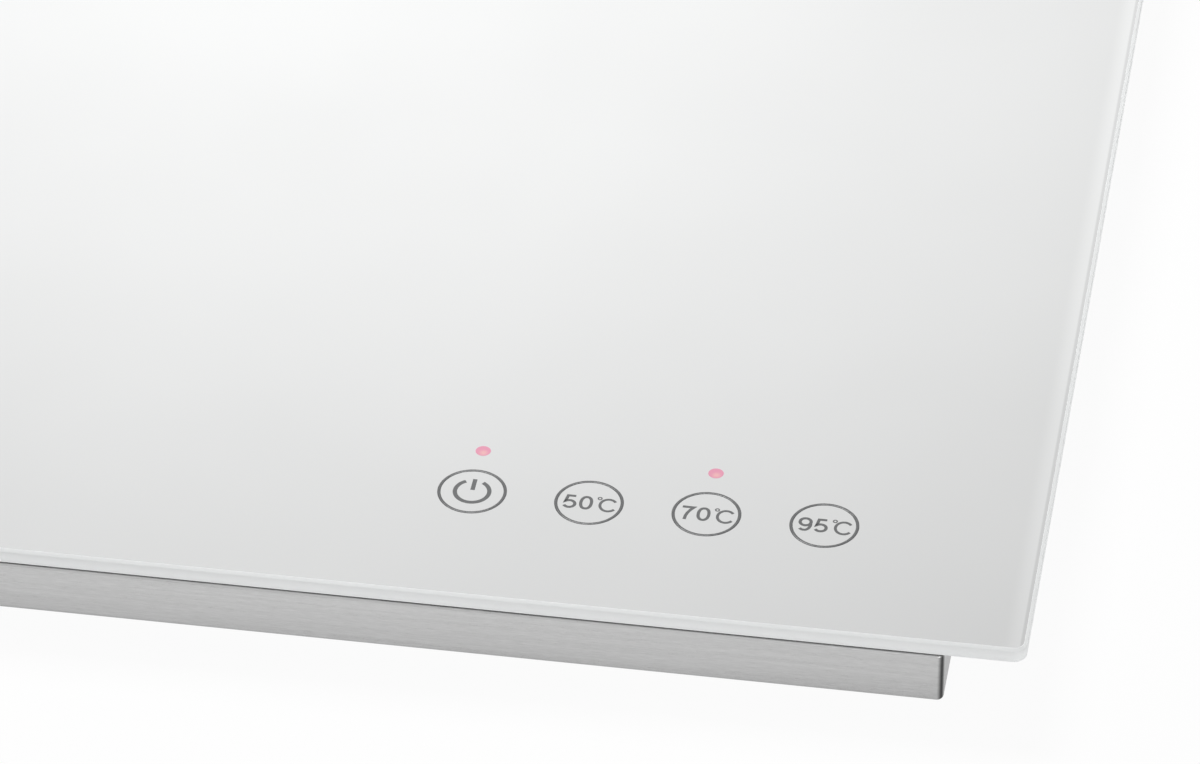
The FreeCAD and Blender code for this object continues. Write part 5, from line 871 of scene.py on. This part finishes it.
class FOODWARMER_OT_lamps(bpy.types.Operator):
    """Lights the lamps of the power and the 70 degree mark"""

    bl_idname = "food_warmer.lamps"
    bl_label = "Lit lamps"

    def execute(self, context):
        low, high = print_levels()
        radius = sizes().lamp_spot / 2
        built = bmesh.new()
        local = built.verts.layers.float_vector.new("spot_place")
        rings = 5
        around = 40
        for index in LIT_MARKS:
            centre = Vector((FIRST_MARK_X + index * MARK_PITCH, LAMP_ROW_Y, 0))
            outlines = []
            for level, share in [(low, 1.0)] + [(high, 1.0 - ring / rings) for ring in range(rings)]:
                outline = []
                for step in range(around):
                    turn = 2 * math.pi * step / around
                    unit = Vector((math.cos(turn), math.sin(turn), 0)) * share
                    vertex = built.verts.new(centre + unit * radius + Vector((0, 0, level)))
                    vertex[local] = unit
                    outline.append(vertex)
                outlines.append(outline)
            for outer, inner in zip(outlines, outlines[1:]):
                for step in range(around):
                    after = (step + 1) % around
                    built.faces.new((outer[step], outer[after], inner[after], inner[step]))
            built.faces.new(outlines[-1])
            built.faces.new(list(reversed(outlines[0])))
        new_piece("lit_lamp_spots", mesh_from(built, "lit_lamp_spots"), [lit_spot_finish()])
        return {"FINISHED"}


class FOODWARMER_OT_casing(bpy.types.Operator):
    """Dresses the folded casing, the glass seal and the black nylon pieces"""

    bl_idname = "food_warmer.casing"
    bl_label = "Casing"

    def execute(self, context):
        dress_nodes(OUTSIDE_SLOTS)
        return {"FINISHED"}


def lathe(built, profile, centre, around):
    """Adds a turned surface; a profile point on the axis closes it to a tip."""
    rings = []
    for radius, height in profile:
        turns = [2 * math.pi * step / around for step in range(around if radius else 1)]
        rings.append([built.verts.new((centre[0] + radius * math.cos(turn),
                                       centre[1] + radius * math.sin(turn), height)) for turn in turns])
    for first, second in zip(rings, rings[1:]):
        for step in range(around):
            after = (step + 1) % around
            corners = [first[step % len(first)], first[after % len(first)],
                       second[after % len(second)], second[step % len(second)]]
            built.faces.new(list(dict.fromkeys(corners))).smooth = True


FEET = ("foot_front_left", "foot_front_right", "foot_rear_left", "foot_rear_right")


def foot_centre(node):
    low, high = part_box(node)
    return (low.x + high.x) / 2, (low.y + high.y) / 2


def foot_profile(node):
    """Half section of a foot, from the screw's seat round the grip groove and back up the outside."""
    low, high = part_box(node)
    floor = low.z
    roof = high.z
    top = (high.x - low.x) / 2
    groove = FOOT_GROOVE
    middle = (FOOT_RECESS + FOOT_PAD) / 2 - groove
    return [(FOOT_BORE, FOOT_SEAT), (FOOT_RECESS, FOOT_SEAT), (FOOT_RECESS, groove),
            (FOOT_RECESS + 0.7 * groove, floor), (middle - 1.6 * groove, floor),
            (middle - 0.8 * groove, groove), (middle + 0.8 * groove, groove),
            (middle + 1.6 * groove, floor), (FOOT_PAD - 3 * groove, floor), (FOOT_PAD - groove, groove),
            (FOOT_PAD, 3 * groove), (top - 2 * groove, 0.65 * roof), (top - groove, roof - 1.5 * groove),
            (top - groove, roof), (FOOT_BORE, roof), (FOOT_BORE, FOOT_SEAT)]


class FOODWARMER_OT_feet(bpy.types.Operator):
    """Turns the four rubber feet with their grip grooves"""

    bl_idname = "food_warmer.feet"
    bl_label = "Rubber feet"

    def execute(self, context):
        built = bmesh.new()
        for node in FEET:
            lathe(built, foot_profile(node), foot_centre(node), FOOT_STEPS)
        bmesh.ops.remove_doubles(built, verts=built.verts, dist=WELD_DISTANCE)
        rubber = rubber_finish("foot_rubber", colours().foot_rubber, 0.70, 1.4)
        new_piece("rubber_feet", mesh_from(built, "rubber_feet"), [rubber], FEET)
        return {"FINISHED"}


def screw_mesh(name, height):
    """A pan-head screw standing on its head, with a cross recess in the underside."""
    head = sizes().screw_head / 2
    rise = sizes().screw_head_height
    shank = sizes().screw_shank / 2
    built = bmesh.new()
    lathe(built, [(0.74 * head, 0), (0.92 * head, 0.12 * rise), (head, 0.42 * rise), (head, rise),
                  (shank, rise), (shank, height - 0.3 * shank), (0.7 * shank, height), (0, height)],
          (0, 0), SCREW_STEPS)
    built.verts.ensure_lookup_table()
    rim = built.verts[:SCREW_STEPS]
    arm = sizes().recess_reach
    half = sizes().recess_width / 2
    cross = []
    for quarter in range(4):
        turn = Matrix.Rotation(math.pi / 2 * quarter, 3, "Z")
        for x, y in ((arm, -half), (arm, half), (half, half)):
            cross.append(built.verts.new(turn @ Vector((x, y, 0))))
    edges = [built.edges.get(pair) for pair in zip(rim, rim[1:] + rim[:1])]
    edges += [built.edges.new((first, second)) for first, second in zip(cross, cross[1:] + cross[:1])]
    bmesh.ops.triangle_fill(built, use_beauty=True, use_dissolve=False, edges=edges)
    floor = [built.verts.new((RECESS_TAPER * vertex.co.x, RECESS_TAPER * vertex.co.y,
                              sizes().recess_depth)) for vertex in cross]
    for step, vertex in enumerate(cross):
        after = (step + 1) % len(cross)
        built.faces.new((vertex, cross[after], floor[after], floor[step]))
    built.faces.new(floor)
    return mesh_from(built, name)


class FOODWARMER_OT_screws(bpy.types.Operator):
    """Sets the base screws and the foot screws with their cross recesses"""

    bl_idname = "food_warmer.screws"
    bl_label = "Screws underneath"

    def execute(self, context):
        tree = screw_grid_tree()
        metal = metal_finish("zinc_plated_screw", (0.62, 0.63, 0.64), 0.30)
        for name, node, columns, removed in (("base_screw_row", "base_screws", 3, 4),
                                             ("foot_screw_row", "foot_screws", 2, -1)):
            low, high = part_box(node)
            head = sizes().screw_head
            pattern = bpy.data.objects.new(f"{node}_pattern", screw_mesh(f"{node}_pattern", high.z - low.z))
            context.scene.collection.objects.link(pattern)
            mesh = grown_mesh(tree, name, {
                "Width": high.x - low.x - head, "Depth": high.y - low.y - head, "Columns": columns,
                "Rows": columns, "Removed": removed, "Screw": pattern, "Metal": metal,
                "Centre": ((low.x + high.x) / 2, (low.y + high.y) / 2, low.z)})
            bpy.data.objects.remove(pattern)
            new_piece(name, mesh, [], [node])
        return {"FINISHED"}


class FOODWARMER_OT_inside(bpy.types.Operator):
    """Dresses the base plate and everything else inside the casing"""

    bl_idname = "food_warmer.inside"
    bl_label = "Base and inside"

    def execute(self, context):
        done = (*OUTSIDE_SLOTS, "white_glass")
        dress_nodes([slot for slot in dict.fromkeys(node_slots().values()) if slot not in done])
        return {"FINISHED"}


def floor_material():
    """A pale table that the camera and reflections see as white, with the object's shadow kept."""
    table = Finish("white_table", (0.86, 0.86, 0.86), 0.9)
    path = table.node("ShaderNodeLightPath").outputs
    seen = table.maths("MAXIMUM", path["Is Camera Ray"], path["Is Transmission Ray"])
    direct = table.maths("MULTIPLY", seen, TABLE_WHITE)
    share = table.maths("MULTIPLY_ADD", path["Is Glossy Ray"], TABLE_MIRROR, direct)
    white = table.node("ShaderNodeEmission", {"Strength": 1.0})
    mixed = table.node("ShaderNodeMixShader", {"Fac": share, 1: table.shader.outputs["BSDF"],
                                               2: white.outputs["Emission"]})
    table.feed(table.tree.nodes["Material Output"].inputs["Surface"], mixed.outputs["Shader"])
    return table.material


def area_light(name, place, target, size, power):
    data = bpy.data.lights.new(name, "AREA")
    data.shape = "RECTANGLE"
    data.size, data.size_y = size
    data.energy = power
    lamp = bpy.data.objects.new(name, data)
    lamp.location = place
    lamp.rotation_euler = (Vector(target) - Vector(place)).to_track_quat("-Z", "Y").to_euler()
    bpy.context.scene.collection.objects.link(lamp)


def studio_world():
    """Soft light from all round; white where the camera or a reflection looks past the table."""
    world = bpy.data.worlds.new("studio")
    world.use_nodes = True
    bpy.context.scene.world = world
    room = Nodes(world.node_tree)
    path = room.node("ShaderNodeLightPath").outputs
    seen = room.maths("MAXIMUM", path["Is Camera Ray"], path["Is Glossy Ray"])
    strength = room.node("ShaderNodeMapRange", {"Value": seen, "To Min": ROOM_LIGHT, "To Max": 1.0})
    background = room.tree.nodes["Background"].inputs
    room.feed(background["Color"], (1, 1, 1, 1))
    room.feed(background["Strength"], strength.outputs["Result"])


def place_camera():
    """Stands the camera where the photo's touch circles and edges put it."""
    across = math.cos(CAMERA_ELEVATION)
    back = Vector((math.sin(CAMERA_AZIMUTH) * across, -math.cos(CAMERA_AZIMUTH) * across,
                   math.sin(CAMERA_ELEVATION)))
    level = Vector((math.cos(CAMERA_AZIMUTH), math.sin(CAMERA_AZIMUTH), 0))
    upright = back.cross(level)
    right = level * math.cos(CAMERA_ROLL) + upright * math.sin(CAMERA_ROLL)
    up = upright * math.cos(CAMERA_ROLL) - level * math.sin(CAMERA_ROLL)
    data = bpy.data.cameras.new("studio_camera")
    data.lens = CAMERA_LENS
    camera = bpy.data.objects.new("studio_camera", data)
    turn = Matrix((right, up, back)).transposed().to_4x4()
    camera.matrix_world = Matrix.Translation(CAMERA_PLACE) @ turn
    bpy.context.scene.collection.objects.link(camera)
    bpy.context.scene.camera = camera


class FOODWARMER_OT_stage(bpy.types.Operator):
    """Sets the table, the soft lights and the camera"""

    bl_idname = "food_warmer.stage"
    bl_label = "Studio"

    def execute(self, context):
        built = bmesh.new()
        bmesh.ops.create_grid(built, x_segments=4, y_segments=4, size=TABLE_SIZE)
        mesh = mesh_from(built, "white_table")
        floor = bpy.data.objects.new("white_table", mesh)
        mesh.materials.append(floor_material())
        context.scene.collection.objects.link(floor)
        area_light("overhead_softbox", SOFTBOX_PLACE, (*SOFTBOX_PLACE[:2], 0), SOFTBOX_SIZE, SOFTBOX_POWER)
        area_light("front_fill", FILL_PLACE, (glass_high.x, glass_low.y, 0), FILL_SIZE, FILL_POWER)
        studio_world()
        place_camera()
        context.scene.view_settings.view_transform = "Standard"
        return {"FINISHED"}


class FOODWARMER_PT_panel(bpy.types.Panel):
    """Lists the pieces of the tray in the order in which they are made"""

    bl_idname = "FOODWARMER_PT_panel"
    bl_label = "Food warmer"
    bl_space_type = "VIEW_3D"
    bl_region_type = "UI"
    bl_category = "Food warmer"

    def draw(self, context):
        for operator in OPERATORS:
            self.layout.operator(operator.bl_idname)
        for group in (sizes(), colours()):
            box = self.layout.box()
            for key in group.__annotations__:
                box.prop(group, key)


OPERATORS = (FOODWARMER_OT_glass, FOODWARMER_OT_marks, FOODWARMER_OT_lamps, FOODWARMER_OT_casing,
             FOODWARMER_OT_feet, FOODWARMER_OT_screws, FOODWARMER_OT_inside, FOODWARMER_OT_stage)
CLASSES = (FoodWarmerSizes, FoodWarmerColours, *OPERATORS, FOODWARMER_PT_panel)


def register():
    for item in CLASSES:
        bpy.utils.register_class(item)
    bpy.types.Scene.food_warmer_sizes = bpy.props.PointerProperty(type=FoodWarmerSizes)
    bpy.types.Scene.food_warmer_colours = bpy.props.PointerProperty(type=FoodWarmerColours)


def unregister():
    del bpy.types.Scene.food_warmer_colours
    del bpy.types.Scene.food_warmer_sizes
    for item in reversed(CLASSES):
        bpy.utils.unregister_class(item)


def main():
    register()
    bpy.ops.food_warmer.glass()
    bpy.ops.food_warmer.marks()
    bpy.ops.food_warmer.lamps()
    bpy.ops.food_warmer.casing()
    bpy.ops.food_warmer.feet()
    bpy.ops.food_warmer.screws()
    bpy.ops.food_warmer.inside()
    bpy.ops.food_warmer.stage()


if __name__ == "__main__":
    main()
